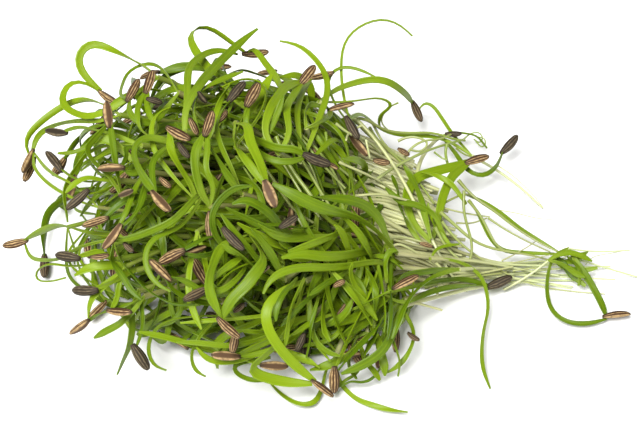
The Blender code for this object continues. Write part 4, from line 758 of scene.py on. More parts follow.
def push_apart(places, pairs, first, second, reach, free, rate):
    """Moves each pair of segments that is too close apart."""
    i, j = pairs[first, 0], pairs[first, 1]
    k, m = pairs[second, 0], pairs[second, 1]
    t1, t2 = closest(places[i], places[j], places[k], places[m])
    near1 = places[i] + t1[:, None] * (places[j] - places[i])
    near2 = places[k] + t2[:, None] * (places[m] - places[k])
    gap = near1 - near2
    apart = np.linalg.norm(gap, axis=1)
    room = apart - (reach[i] + t1 * (reach[j] - reach[i])) - (reach[k] + t2 * (reach[m] - reach[k]))
    hits = np.nonzero(room < 0.0)[0]
    if not len(hits):
        return
    i, j, k, m = i[hits], j[hits], k[hits], m[hits]
    t1, t2 = t1[hits], t2[hits]
    away = np.where(apart[hits, None] > 1e-6, gap[hits] / np.maximum(apart[hits, None], 1e-6), TO_VIEWER)
    shares = np.stack(((1 - t1) * free[i], t1 * free[j], (1 - t2) * free[k], t2 * free[m]))
    weights = np.stack((1 - t1, t1, 1 - t2, t2))
    total = np.maximum(np.sum(shares * weights, axis=0), 0.25)
    depth = np.minimum(-room[hits], 1.0)
    shift = np.zeros_like(places)
    count = np.zeros(len(places))
    for index, share, sign in ((i, shares[0], 1), (j, shares[1], 1), (k, shares[2], -1), (m, shares[3], -1)):
        np.add.at(shift, index, (sign * share * depth / total)[:, None] * away)
        np.add.at(count, index, share)
    places += rate * shift / np.maximum(1.0, count)[:, None]


def facing(places, roll):
    """For each place of a chain, the direction in which a seed leaf's flat face looks."""
    along = np.gradient(places, axis=0)
    along = unit(along)
    (x, y), _ = HEAP
    outward = unit(places - np.array((x, y, -10.0)))
    look = unit(0.4 * outward + 0.6 * TO_VIEWER)
    low = np.clip((3.0 - places[:, 2:3]) / 2.0, 0.0, 1.0)
    look = unit(look * (1.0 - low) + np.array((0.0, 0.0, 1.0)) * low)
    look = unit(look - np.sum(look * along, axis=1, keepdims=True) * along)
    for _ in range(4):
        calm = look.copy()
        calm[1:-1] += look[:-2] + look[2:]
        look = unit(calm - np.sum(calm * along, axis=1, keepdims=True) * along)
    side = np.cross(along, look)
    turn = roll * (1.0 - low)
    return unit(np.cos(turn) * look + np.sin(turn) * side), along


def plan_bunch():
    """Every chain of the bunch, settled, with the necks whose stems are gathered."""
    draw = np.random.default_rng(SEED)
    bunch = Bunch()
    necks = {}
    for name, sprout in SPROUTS.items():
        neck_index = plan_sprout(bunch, name, sprout)
        if "stem" in sprout:
            plan_own_stem(bunch, name, sprout, neck_index)
        else:
            necks[name] = neck_index
    for k in range(BACK_NODES):
        name = f"back_{k + 1:02d}"
        turn = math.radians(BACK_FIRST_TURN + k * BACK_TURN_STEP)
        climb = math.radians(BACK_CLIMBS[k % len(BACK_CLIMBS)])
        necks[name] = plan_back(bunch, name, turn, climb, draw)
    plan_stems(bunch, necks, draw)
    settle(bunch)
    return bunch, necks


def chain(bunch, run_name):
    """The settled places of a run."""
    return np.array([bunch.places[i] for i in bunch.runs[run_name]["indices"]])


# Rings along and points round the fine leaf, husk and stem
LEAF_RINGS = 24
LEAF_POINTS = 8
HUSK_RINGS = 10
HUSK_POINTS = 20
STEM_RINGS = 18
STEM_POINTS = 7
STEM_CALM = 3
ROUTE_CALM = 2

# From where to where along the bunch a stem turns from green to pale, in millimetres
PALE_FROM = -14.0
PALE_TO = 8.0

# From where to where a stem grows thinner and whiter towards its end, and by what share
THIN_FROM = 20.0
THIN_TO = 52.0
THINNED = 0.62

# The middle of the bunch's box, which stands on the origin, in the places planned below
BUNCH_MIDDLE = np.array((0.8673, -8.6993, 0.0))

# How dark the husks of some sprouts are, and sprouts whose husk shows its flat face or its ribs
HUSK_TONES = {
    "sprout_04": 0.97, "sprout_06": 0.9, "sprout_11": 0.2, "sprout_13": 0.3, "sprout_14": 0.3,
    "sprout_15": 0.9, "sprout_17": 0.92, "sprout_20": 0.8, "sprout_21": 0.85, "sprout_22": 0.2,
    "sprout_23": 0.97, "sprout_27": 0.93, "sprout_29": 0.4, "sprout_30": 0.9, "sprout_31": 0.85,
    "sprout_41": 0.88, "sprout_57": 0.9,
}
FACES_UP = ("sprout_03", "sprout_16", "sprout_39", "sprout_33", "sprout_51")
RIBS_UP = ("sprout_02", "sprout_11", "sprout_22")

# How bright the leaves of some sprouts are, and sprouts whose leaves lie almost untwisted
LEAF_TINTS = {
    "sprout_08": 0.5, "sprout_11": 0.7, "sprout_12": 0.9, "sprout_19": 0.75, "sprout_22": 0.75,
    "sprout_28": 0.5,
}
UNTWISTED = ("sprout_08", "sprout_11", "sprout_12", "sprout_22")
TWIST_LEFT = 0.15

# Sprouts inside the heap: the shape that they fill, how many each layer holds and its share of that
# shape's size, the range of their leaves' widths, the turn from one to the next and how far it
# strays, the share of the height that they reach, and how bright the leaves of each layer and of the
# rest may be. The deeper layers are capped darker: painted shade inside the heap.
DENSE = ((-17.5, -8.0), (32.5, 36.0, 33.0))
LAYERS = ((78, 1.0), (64, 0.86), (34, 0.66))
LAYER_WIDTHS = (1.0, 2.1)
GOLDEN_TURN = 2.39996
TURN_STRAYS = (-0.15, 0.15)
HIGHEST = 0.98
PAINTED_SHADE_BRIGHTEST = (0.75, 0.35, 0.12, 0.9)

# Sprouts at the edges of the heap, low in front and round its rim: the shapes that they fill, the
# range of their heights as shares, and for each shape how many they are and the ranges of their
# turns, shares of that shape's size and leaves' widths
FRONT = ((2.0, -20.0), (20.0, 21.0, 13.0))
FRINGE = ((-23.0, -7.0), (34.0, 37.0, 33.0))
EDGE_HEIGHTS = (0.05, 0.95)
EDGES = (
    (FRONT, 46, (-2.6, 0.3), (0.75, 1.0), (0.7, 1.8)),
    (FRINGE, 22, (1.3, 4.4), (0.9, 1.0), (0.6, 1.2)),
)

# An untraced sprout: the place that its head points away from and how far it may turn from there,
# its length as a share of a seed leaf's, how deep and how far back its neck lies, how far ahead its
# tip lies and how far it rises and strays, how many have leaves that meet in a husk and how far the
# husk sways, and how its two leaves bow apart and rise
FAN_MIDDLE = np.array((14.0, -1.0, 4.0))
HEAD_TURN = 0.9
INNER_LENGTHS = (0.75, 1.1)
INNER_DEPTHS = (4.0, 9.0)
NECK_BACK = 0.42
TIP_AHEAD = 0.74
TIP_RISES = (-2.0, 5.0)
TIP_STRAY = 3.0
MEETING_SHARE = 0.28
HUSK_SWAYS = (0.6, 0.5)
LEAF_BOWS = (0.10, 0.34)
LEAF_RISES = (0.0, 6.0)
OPEN_BOW = 1.4
OPEN_SINKS = (-2.0, 7.0)

# The two knots between an untraced leaf's ends: the share of the way, of the bow and of the rise
INNER_KNOTS = ((0.36, 0.9, 1.0), (0.70, 0.7, 0.6))

# How the inner sprouts settle among the held ones, and how many make one piece
INNER_ROUNDS = (130, 60)
HELD_SHARE = 0.9
INNER_GROUP = 17
INNER_SEED = 23

# A fine husk: its beak, furrows and flat face as shares of its full size, how far its mouth reaches
# back over the leaves, its depth as a share of its width, and how slim a very short one is
BEAK_SIZE = 0.30
FURROW_SIZE = (1.0, 0.86, 0.86)
FACE_SIZE = (1.0, 1.0, 0.42)
MOUTH_BACK = 0.06
HUSK_DEPTH = 0.88
SLIMMEST = 0.35

# How far the middle of a fine leaf's upper side is sunk and its edges beside it, as shares
CHANNEL_DROP = -0.55
FLANK_DROP = -0.18

# A fine stem: by what share it narrows towards its cut end and widens at its neck, and over what
# share of its length it widens
STEM_NARROWS = 0.12
NECK_WIDENS = 0.22
NECK_SHARE = 0.12

# How far the leaves of a loose sprout and of any other roll and twist, and how dark a husk may be
LOOSE_LOOKS = {"roll": 0.25, "twist": 0.45, "darkest": 0.78}
HEAPED_LOOKS = {"roll": 0.6, "twist": 1.0, "darkest": 1.0}

# How far the leaves of a sprout differ in brightness, and how husks differ: their width, their bow
# and turn, how many show their flat face and how little those in FACES_UP are turned from it
LOOK_SEED = 5
TINT_SPREAD = 0.15
HUSK_WIDTHS = (0.88, 1.08)
HUSK_BOWS = (-0.15, 0.35)
HUSK_TURN = 1.5
FACE_SHARE = 0.15
FACE_TURN = 0.3

# How far a leaf goes into its neck and its husk, and how wide its tip is when free and in a husk
NECK_OVERLAP = 0.3
HUSK_OVERLAP = 0.45
FREE_TIP = 0.3
HELD_TIP = 0.45

# The sizes of the inner stems as shares of a stem's, how far a stem low in the stack is tinted
# darker and warmer as painted shade, and how far they and the strands differ in tint
INNER_STEM_SIZES = (0.6, 1.15)
LOW_STEM_PAINTED_SHADE = 0.7
INNER_STEM_TINTS = (0.0, 0.4)
STRAND_TINTS = (0.0, 0.25)

# Half breadths of a fine leaf: full and at least, up to which share of its length it widens, from
# where and over what share it narrows again, and how much
FINE_BREADTH = 0.46
FINE_LEAST = 0.2
FINE_FULL_FROM = 0.20
FINE_FULL_TO = 0.58
FINE_CLOSING = 0.42
FINE_THINNING = 0.52


def clear_selection():
    """Object mode with nothing selected."""
    if bpy.context.object and bpy.context.object.mode != "OBJECT":
        bpy.ops.object.mode_set(mode="OBJECT")
    bpy.ops.object.select_all(action="DESELECT")


def tube(name, points, rings, size_at):
    """A closed tube of length one along X, extruded ring by ring, with each ring's size by a rule."""
    clear_selection()
    upright = (0.0, math.pi / 2, 0.0)
    bpy.ops.mesh.primitive_circle_add(vertices=points, radius=1.0, fill_type="NGON", rotation=upright)
    made = bpy.context.object
    made.name = name
    made.data.name = name
    bpy.ops.object.transform_apply(location=True, rotation=True, scale=True)
    bpy.ops.object.mode_set(mode="EDIT")
    bpy.ops.mesh.select_all(action="SELECT")
    size = size_at(0.0)
    bpy.ops.transform.resize(value=(1.0, size, size))
    for k in range(rings):
        bpy.ops.mesh.extrude_region_move(TRANSFORM_OT_translate={"value": (1.0 / rings, 0.0, 0.0)})
        grown = size_at((k + 1) / rings) / size
        size *= grown
        bpy.ops.transform.resize(value=(1.0, grown, grown))
    bpy.ops.mesh.select_all(action="SELECT")
    bpy.ops.mesh.normals_make_consistent(inside=False)
    bpy.ops.object.mode_set(mode="OBJECT")
    return made


def corners_of(mesh):
    """The places of a mesh's vertices."""
    flat = np.empty(3 * len(mesh.vertices))
    mesh.vertices.foreach_get("co", flat)
    return flat.reshape(-1, 3)


def move_corners(mesh, places):
    """Gives a mesh's vertices new places."""
    mesh.vertices.foreach_set("co", np.ascontiguousarray(places, float).ravel())
    mesh.update()


def select_corners(mesh, wanted):
    """Selects some vertices, and the edges and faces between them, for an edit-mode operator."""
    mesh.vertices.foreach_set("select", wanted)
    keys = np.empty(2 * len(mesh.edges), int)
    mesh.edges.foreach_get("vertices", keys)
    mesh.edges.foreach_set("select", wanted[keys.reshape(-1, 2)].all(axis=1))
    mesh.polygons.foreach_set("select", [all(wanted[v] for v in face.vertices) for face in mesh.polygons])


def change(made, wanted, operator, **values):
    """Runs an edit-mode operator on some of a piece's vertices."""
    select_corners(made.data, wanted)
    bpy.ops.object.mode_set(mode="EDIT")
    operator(**values)
    bpy.ops.object.mode_set(mode="OBJECT")


def lay_map(mesh, across):
    """The map that patterns follow: u runs along the piece, v across or round it."""
    places = corners_of(mesh)
    layer = mesh.uv_layers.new(name="Along")
    for face in mesh.polygons:
        shares = [across(places[v]) for v in face.vertices]
        wraps = max(shares) - min(shares) > 0.5 and len(shares) == 4
        for loop, share in zip(face.loop_indices, shares):
            if wraps and share < 0.5:
                share += 1.0
            layer.data[loop].uv = (places[mesh.loops[loop].vertex_index][0], share)
    mesh.attributes.new("tint", "FLOAT", "POINT")
    mesh.attributes.new("pale", "FLOAT", "POINT")


def finish_master(made, smooth_angle, surface):
    """Smooth shading and the surface of a piece that is copied."""
    clear_selection()
    made.select_set(True)
    bpy.context.view_layer.objects.active = made
    bpy.ops.object.shade_smooth_by_angle(angle=smooth_angle)
    made.data.materials.clear()
    made.data.materials.append(surface)
    made.hide_render = True
    return made


def turn_share(place):
    """The share of a full turn round the X axis."""
    return (math.atan2(place[2], place[1]) / (2.0 * math.pi)) % 1.0


def leaf_master(surface):
    """One seed leaf: a flat blade with a channel above and a rounded keel below."""
    made = tube("leaf", LEAF_POINTS, LEAF_RINGS, lambda share: 1.0)
    everywhere = np.ones(len(made.data.vertices), bool)
    change(made, everywhere, bpy.ops.transform.resize, value=(1.0, 1.0, 0.5))
    places = corners_of(made.data)
    middle = np.abs(places[:, 1]) < 0.1
    channel = middle & (places[:, 2] > 0)
    flanks = ~middle & (places[:, 2] > 0.1)
    for wanted, drop in ((channel, CHANNEL_DROP), (flanks, FLANK_DROP)):
        change(made, wanted, bpy.ops.transform.translate, value=(0.0, 0.0, drop))
    lay_map(made.data, lambda place: 0.5 + 0.5 * place[1])
    return finish_master(made, math.radians(48.0), surface)


def husk_size(share):
    """How wide a husk is along its length: narrow where the leaves leave it, full in the middle."""
    body = math.sin(math.pi * (0.11 + 0.76 * share ** 1.05)) ** 0.75
    return 0.98 * body if share < 0.999 else BEAK_SIZE


def husk_master(surface):
    """One half of a seed: ribs along its round back, and a flatter plain face in front."""
    made = tube("husk", HUSK_POINTS, HUSK_RINGS, husk_size)
    places = corners_of(made.data)
    turns = np.round(np.arctan2(places[:, 2], places[:, 1]) / (2.0 * math.pi) * HUSK_POINTS)
    furrows = (turns % 2 == 1) & (turns > -1)
    for wanted, size in ((furrows, FURROW_SIZE), (turns < -0.5, FACE_SIZE)):
        change(made, wanted, bpy.ops.transform.resize, value=size, center_override=(0.5, 0.0, 0.0))
    lay_map(made.data, turn_share)
    return finish_master(made, math.radians(80.0), surface)


def stem_master(surface):
    """One stem: a round stalk with a cut end."""
    made = tube("stem", STEM_POINTS, STEM_RINGS, lambda share: 1.0 - STEM_NARROWS * share)
    lay_map(made.data, turn_share)
    return finish_master(made, math.radians(60.0), surface)


def copy_of(master, name, places, tint, pale=0.0):
    """A copy of a master piece with its own mesh, whose vertices go to the given places."""
    thing = bpy.data.objects.new(name, master.data.copy())
    bpy.context.scene.collection.objects.link(thing)
    move_corners(thing.data, (places - BUNCH_MIDDLE) * MM)
    thing.data.attributes["tint"].data.foreach_set("value", np.full(len(places), tint))
    thing.data.attributes["pale"].data.foreach_set("value", np.broadcast_to(pale, len(places)).astype(float))
    return thing


def resampled(values, count):
    """Directions along a chain, given again at evenly spaced places."""
    old = np.linspace(0.0, 1.0, len(values))
    new = np.linspace(0.0, 1.0, count)
    return unit(np.stack([np.interp(new, old, values[:, k]) for k in range(3)], axis=1))


def smooth_breadth(shares, width, tip_share):
    """Half the width of a fine leaf from its tip, share 0, to its neck, share 1."""
    opening = np.sin(np.clip(shares / FINE_FULL_FROM, 0.0, 1.0) * math.pi / 2)
    tip = tip_share + (1.0 - tip_share) * opening
    closing = np.clip((shares - FINE_FULL_TO) / FINE_CLOSING, 0.0, 1.0) ** 1.2
    base = 1.0 - FINE_THINNING * closing
    return np.maximum(FINE_BREADTH * width * tip * base, FINE_LEAST)


def fine_route(chain_places, run, count):
    """The route of a leaf: the traced curve, moved as its chain has settled."""
    if run["knots"] is None:
        return smooth_route(chain_places, count)
    line = smooth_route(run["knots"], count)
    moved = calmed(chain_places - run["planned"], ROUTE_CALM)
    shares = np.linspace(0.0, 1.0, count)
    steps = np.linspace(0.0, 1.0, len(moved))
    route = line + np.stack([np.interp(shares, steps, moved[:, k]) for k in range(3)], axis=1)
    return calmed(route, ROUTE_CALM)


def fine_leaf(master, name, chain_places, run, roll, twist, phase, thickness, tint, tip_share):
    """A copy of the leaf bent along a chain."""
    shares = np.linspace(0.0, 1.0, LEAF_RINGS + 1)
    look, _ = facing(chain_places, roll)
    route = fine_route(chain_places, run, LEAF_RINGS + 1)
    width = run["width"]
    along = unit(np.gradient(route, axis=0))
    look = resampled(look, LEAF_RINGS + 1)
    look = unit(look - np.sum(look * along, axis=1, keepdims=True) * along)
    side = np.cross(look, along)
    turn = (twist * np.sin(math.pi * (1.5 * shares + phase)))[:, None]
    face = np.cos(turn) * look + np.sin(turn) * side
    edge = np.cos(turn) * side - np.sin(turn) * look
    half = smooth_breadth(shares, width, tip_share)[:, None]
    low = corners_of(master.data)
    ring = np.rint(low[:, 0] * LEAF_RINGS).astype(int)
    places = (
        route[ring]
        + low[:, 1:2] * half[ring] * edge[ring]
        + low[:, 2:3] * thickness * face[ring]
    )
    under = LEAST_HEIGHT - places[:, 2]
    places[:, 2] += np.maximum(under, 0.0)
    return copy_of(master, name, places, tint)


def fine_husk(master, name, root, end, width, bow, spin, tint):
    """A copy of the husk from its mouth to its beak, slightly bowed."""
    axis = unit(end - root)
    first = unit(np.cross(axis, np.array((0.02, 0.1, 1.0))))
    second = np.cross(axis, first)
    low = corners_of(master.data)
    share = low[:, 0:1]
    radius = 0.5 * width
    spun_y = math.cos(spin) * low[:, 1:2] - math.sin(spin) * low[:, 2:3]
    spun_z = math.sin(spin) * low[:, 1:2] + math.cos(spin) * low[:, 2:3]
    places = (
        root
        + (share - MOUTH_BACK) * (end - root)
        + spun_y * radius * first
        + (spun_z * radius * HUSK_DEPTH + bow * np.sin(math.pi * share)) * second
    )
    places[:, 2] += max(0.0, LEAST_HEIGHT - places[:, 2].min())
    return copy_of(master, name, places, tint)


def calmed(places, rounds):
    """A chain with its small bends evened out and its ends kept."""
    places = places.copy()
    for _ in range(rounds):
        places[1:-1] += 0.5 * (0.5 * (places[:-2] + places[2:]) - places[1:-1])
    return places


def fine_stem(master, name, route, radius, tint, pale=None):
    """A copy of the stem bent along a route, a little wider at its neck."""
    along = unit(np.gradient(route, axis=0))
    normal = unit(np.cross(along[0], np.array((0.02, 0.1, 1.0))))
    normals = []
    for direction in along:
        normal = unit(normal - np.dot(normal, direction) * direction)
        normals.append(normal)
    normals = np.array(normals)
    others = np.cross(along, normals)
    shares = np.linspace(0.0, 1.0, STEM_RINGS + 1)
    beyond = np.clip((route[:, 0] - THIN_FROM) / (THIN_TO - THIN_FROM), 0.0, 1.0)
    wide = 1.0 + NECK_WIDENS * np.clip(1.0 - shares / NECK_SHARE, 0.0, 1.0)
    wide = (radius * wide * (1.0 - THINNED * beyond))[:, None]
    low = corners_of(master.data)
    ring = np.rint(low[:, 0] * STEM_RINGS).astype(int)
    places = route[ring] + wide[ring] * (low[:, 1:2] * normals[ring] + low[:, 2:3] * others[ring])
    places[:, 2] += np.maximum(LEAST_HEIGHT - places[:, 2], 0.0)
    if pale is None:
        fade = np.clip((places[:, 0] - PALE_FROM) / (PALE_TO - PALE_FROM), 0.0, 1.0)
        fade += np.clip((places[:, 0] - THIN_FROM) / (THIN_TO - THIN_FROM), 0.0, 1.0)
    else:
        fade = pale[0] + low[:, 0] * (pale[1] - pale[0])
    return copy_of(master, name, places, tint, fade)


def stem_route(chain_places):
    """The smooth route of a stem through its chain."""
    return smooth_route(calmed(chain_places, STEM_CALM), STEM_RINGS + 1)


def joined(name, things):
    """One piece from several copies."""
    clear_selection()
    for thing in things:
        thing.select_set(True)
    bpy.context.view_layer.objects.active = things[0]
    if len(things) > 1:
        bpy.ops.object.join()
    whole = bpy.context.object
    whole.name = name
    whole.data.name = name
    whole.hide_render = False
    return whole


# Traced sprouts that lie between the modelled ones
BETWEEN = traced("between", (
    (1, (203, 145), 1, 5, None,
     (1.5, ((241, 72), (226, 76), (210, 81), (194, 90), (190, 110))),
     (1.4, ((230, 84), (222, 98), (216, 114), (212, 130)))),
    (2, (296, 128), 1, 6, ((330, 104), (354, 109)),
     (1.5, ((330, 104), (320, 100), (308, 101), (300, 110))),
     (1.4, ((330, 104), (322, 112), (314, 118), (304, 124)))),
    (3, (152, 200), 2, 7, ((107, 218), (82, 226)),
     (1.5, ((107, 218), (116, 208), (126, 201), (138, 197))),
     (1.4, ((107, 218), (120, 216), (132, 210), (142, 206)))),
    (4, (228, 242), 2, 7, ((182, 249), (161, 261)),
     (1.5, ((182, 249), (194, 244), (206, 239), (218, 238))),
     (1.4, ((182, 249), (196, 254), (210, 252), (220, 248)))),
    (5, (250, 256), 1, 7, ((208, 291), (192, 302)),
     (1.6, ((208, 291), (216, 280), (228, 270), (240, 261))),
     (1.4, ((208, 291), (222, 290), (235, 280), (245, 268)))),
    (6, (150, 158), 3, 6, ((123, 168), (105, 169)),
     (1.3, ((123, 168), (127, 156), (126, 147), (136, 148))),
     (1.4, ((123, 168), (133, 173), (142, 168)))),
    (7, (244, 262), 3, 7, ((223, 226), (239, 245)),
     (1.6, ((252, 186), (237, 189), (224, 200), (216, 214), (216, 230), (224, 246))),
     (1.1, ((223, 226), (224, 238), (232, 252)))),
    (8, (222, 318), 0, 6, None,
     (0.9, ((166, 370), (153, 365), (148, 348), (156, 330), (174, 321), (198, 318))),
     (0.9, ((206, 377), (195, 370), (191, 356), (198, 340), (210, 328)))),
    (9, (152, 138), 1, 5, ((147, 93), (152, 75)),
     (1.3, ((147, 93), (146, 104), (150, 116), (158, 126))),
     (1.3, ((147, 93), (140, 106), (138, 118), (141, 130)))),
    (10, (220, 352), 0, 5, ((262, 365), (285, 366)),
     (1.5, ((138, 331), (162, 335), (188, 341), (206, 345))),
     (1.2, ((262, 365), (250, 360), (236, 354)))),
    (11, (196, 236), 2, 7, None,
     (1.5, ((199, 331), (192, 317), (187, 302), (186, 286), (188, 270), (193, 252))),
     (1.4, ((223, 311), (212, 296), (206, 278), (203, 258)))),
    (12, (390, 246), 1, 3, ((333, 370), (334, 381)),
     (1.3, ((388, 300), (386, 280), (386, 262))),
     (1.4, ((333, 370), (346, 346), (360, 316), (376, 280)))),
    (13, (120, 262), 1, 5, ((108, 314), (126, 313)),
     (1.7, ((89, 319), (90, 307), (95, 297), (103, 289), (114, 276))),
     (1.2, ((108, 314), (118, 300), (122, 282)))),
    (14, (262, 150), 1, 6, ((247, 106), (259, 84)),
     (1.4, ((283, 98), (277, 112), (272, 126), (268, 140))),
     (1.3, ((247, 106), (246, 122), (252, 138)))),
    (15, (96, 206), 0, 2, ((34, 152), (30, 160)),
     (0.8, ((34, 152), (44, 165), (56, 173), (72, 180), (86, 192))),
     (0.8, ((34, 152), (36, 168), (50, 184), (74, 198)))),
))

# Stems with no traced leaves, whose cut ends lie along the slanting edge: how many, how high they
# are stacked and how long they are, how much their ways differ in degrees, how far their cut ends
# stand out and drop, how far back they keep to their way, and how far their upper ends stray
FIELD_STEMS = 170
FIELD_TOP = 9.5
FIELD_LENGTH = (17.0, 30.0)
FIELD_SWAY = 10.0
FIELD_ENDS = (1.0, 12.0)
FIELD_DROPS = (0.3, 2.5)
FIELD_STRAIGHT = (10.0, 14.0)
FIELD_STRAY = 1.5
FIELD_STEM_STEP = 7.0

# Pale stems that show through a gap of the leaves: how many, from which line to which line of the
# picture and how far they stray from it, their widths in millimetres and heights from the surface
PATCH_STRANDS = 11
PATCH = (((244, 150), (318, 112)), ((300, 226), (366, 190)))
PATCH_STRAY = 9.0
PATCH_WIDTHS = (0.5, 0.95)
PATCH_LIFTS = (-8.0, -4.5)
PATCH_PALE = (0.0, 0.35)

# Single leaves seen between the traced sprouts: width in millimetres, height above the surface, how
# deep the inner end lies, and picture points from the tip inwards
SINGLE_LEAVES = (
    (1.7, 3.0, 3.0, ((372, 325), (362, 308), (351, 292), (341, 278))),
    (2.2, 1.0, 4.0, ((335, 326), (350, 318), (367, 310), (382, 300))),
    (2.2, 0.0, 4.0, ((340, 338), (350, 330), (361, 320), (372, 311))),
    (1.7, 1.0, 4.0, ((331, 343), (325, 334), (322, 320), (322, 300), (328, 284))),
    (1.6, 1.0, 4.0, ((341, 356), (330, 353), (318, 343), (312, 328), (310, 306))),
    (0.8, 1.0, 2.0, ((332, 362), (324, 353), (317, 345), (313, 332))),
    (2.0, 0.5, 3.0, ((310, 370), (321, 367), (334, 362), (346, 356), (360, 344))),
    (1.9, 0.5, 3.0, ((320, 367), (311, 362), (300, 357), (290, 354), (276, 346))),
    (0.7, 0.5, 2.0, ((335, 392), (341, 386), (347, 380), (356, 374), (362, 362))),
    (0.7, 0.5, 2.0, ((340, 386), (350, 381), (362, 382), (372, 378), (380, 368))),
    (1.3, 3.0, 4.0, ((388, 340), (390, 324), (390, 307), (389, 291), (387, 275), (386, 260))),
    (1.2, 3.0, 4.0, ((384, 332), (386, 316), (385, 300), (383, 284), (380, 268))),
    (0.7, 2.5, 3.0, ((392, 291), (380, 297), (366, 304), (352, 311))),
    (2.2, 0.5, 3.0, ((357, 379), (351, 370), (348, 358), (352, 346))),
    (2.2, 0.5, 3.0, ((380, 380), (374, 371), (366, 362), (362, 350))),
    (1.9, 0.5, 3.0, ((385, 376), (384, 364), (381, 352), (378, 340))),
    (2.0, 1.0, 3.0, ((364, 357), (369, 346), (375, 336), (382, 324))),
    (1.5, 3.5, 3.0, ((285, 346), (287, 334), (289, 318), (293, 303), (300, 288))),
    (1.3, 3.5, 3.0, ((276, 321), (276, 312), (279, 302), (284, 293), (292, 284))),
    (1.3, 1.5, 4.0, ((281, 326), (290, 317), (301, 306), (310, 297), (320, 289))),
    (1.2, 1.5, 4.0, ((288, 337), (299, 330), (308, 323), (318, 315))),
    (1.0, 2.0, 4.0, ((306, 358), (309, 343), (310, 331), (312, 318), (318, 300))),
    (1.9, 1.5, 4.0, ((308, 297), (312, 286), (318, 275))),
    (1.4, 2.0, 4.0, ((308, 296), (319, 287), (328, 280), (340, 273))),
    (1.0, 2.0, 3.0, ((180, 323), (205, 321), (230, 319), (255, 317), (277, 313))),
    (1.3, 1.0, 3.0, ((176, 342), (200, 343), (226, 346), (250, 342), (268, 334))),
    (1.2, 0.5, 3.0, ((236, 330), (254, 333), (270, 332), (288, 326))),
    (1.3, 0.5, 2.0, ((196, 346), (203, 355), (214, 361), (230, 362), (250, 358), (268, 352))),
    (1.3, 1.0, 2.0, ((264, 381), (248, 379), (237, 373), (234, 367), (240, 362), (258, 360))),
    (1.6, 2.0, 4.0, ((222, 314), (232, 302), (244, 290), (256, 280))),
    (1.9, 1.0, 4.0, ((219, 286), (230, 273), (243, 266), (256, 262))),
    (1.5, 3.0, 4.0, ((280, 235), (285, 243), (295, 252))),
    (1.8, 2.0, 5.0, ((222, 243), (233, 250), (246, 256), (258, 268))),
    (2.0, 2.0, 5.0, ((233, 231), (250, 240), (268, 247), (284, 252))),
    (1.8, 2.0, 5.0, ((246, 236), (262, 228), (280, 226), (300, 230))),
    (1.9, 2.0, 5.0, ((256, 222), (272, 232), (290, 236), (312, 236))),
    (1.6, 2.0, 5.0, ((318, 222), (332, 228), (346, 242), (360, 262))),
    (1.6, 2.0, 5.0, ((340, 214), (352, 228), (362, 246), (370, 266))),
    (1.5, 2.0, 4.0, ((352, 262), (350, 274), (356, 288), (366, 298))),
    (1.7, 1.0, 4.0, ((352, 300), (346, 312), (338, 318), (326, 322))),
    (1.6, 1.0, 4.0, ((366, 268), (372, 280), (374, 296), (370, 312))),
    (1.4, 3.0, 3.0, ((397, 250), (389, 252), (386, 262), (387, 274))),
    (1.2, 2.0, 3.0, ((404, 270), (396, 265), (388, 260), (376, 256))),
    (1.6, 1.5, 0.5, ((556, 249), (563, 260), (572, 271), (583, 277))),
    (1.9, 1.5, 0.5, ((592, 262), (582, 258), (570, 257), (560, 254))),
    (1.5, 1.0, 0.5, ((554, 256), (566, 264), (578, 268), (590, 268))),
    (1.3, 2.0, 0.5, ((566, 250), (574, 260), (580, 270), (580, 280))),
    (2.0, 3.0, 1.0, ((392, 176), (398, 190), (400, 205), (406, 220), (414, 232))),
    (1.7, 3.0, 1.0, ((404, 166), (412, 180), (420, 196), (424, 212), (428, 228))),
    (1.5, 3.0, 1.0, ((384, 186), (400, 200), (416, 204), (432, 214), (440, 228))),
    (1.4, 2.5, 1.0, ((420, 172), (436, 176), (450, 184), (460, 196))),
    (1.4, 2.5, 1.0, ((424, 204), (430, 218), (438, 230), (446, 240))),
)

# Husks without leaves of their own: how dark, height above the surface and their two ends
LOOSE_HUSKS = (
    (0.7, 0.5, (190, 119), (198, 136)), (0.9, 0.5, (178, 143), (190, 159)),
    (0.9, 0.5, (199, 93), (207, 104)), (0.9, 1.0, (148, 100), (164, 104)),
    (0.5, 1.0, (325, 163), (339, 170)), (0.6, 1.5, (398, 150), (410, 157)),
    (0.5, 1.5, (374, 160), (391, 163)), (0.9, 2.5, (446, 134), (463, 134)),
    (0.8, 1.0, (124, 243), (134, 252)), (0.7, 1.0, (92, 257), (111, 255)),
    (0.2, 0.5, (186, 254), (211, 250)), (0.5, 1.0, (160, 178), (172, 188)),
    (0.8, 1.0, (121, 196), (136, 190)), (0.9, 0.5, (280, 228), (299, 215)),
    (0.8, 0.0, (254, 262), (270, 262)), (0.4, 0.5, (118, 228), (128, 237)),
    (0.9, 0.0, (304, 334), (296, 352)), (0.8, 0.0, (234, 312), (245, 303)),
    (0.7, 0.0, (236, 333), (232, 354)), (0.5, 1.5, (432, 247), (418, 243)),
    (0.8, 0.5, (408, 333), (420, 341)), (0.6, 1.0, (334, 286), (346, 280)),
    (0.7, 1.0, (216, 120), (226, 108)),
)

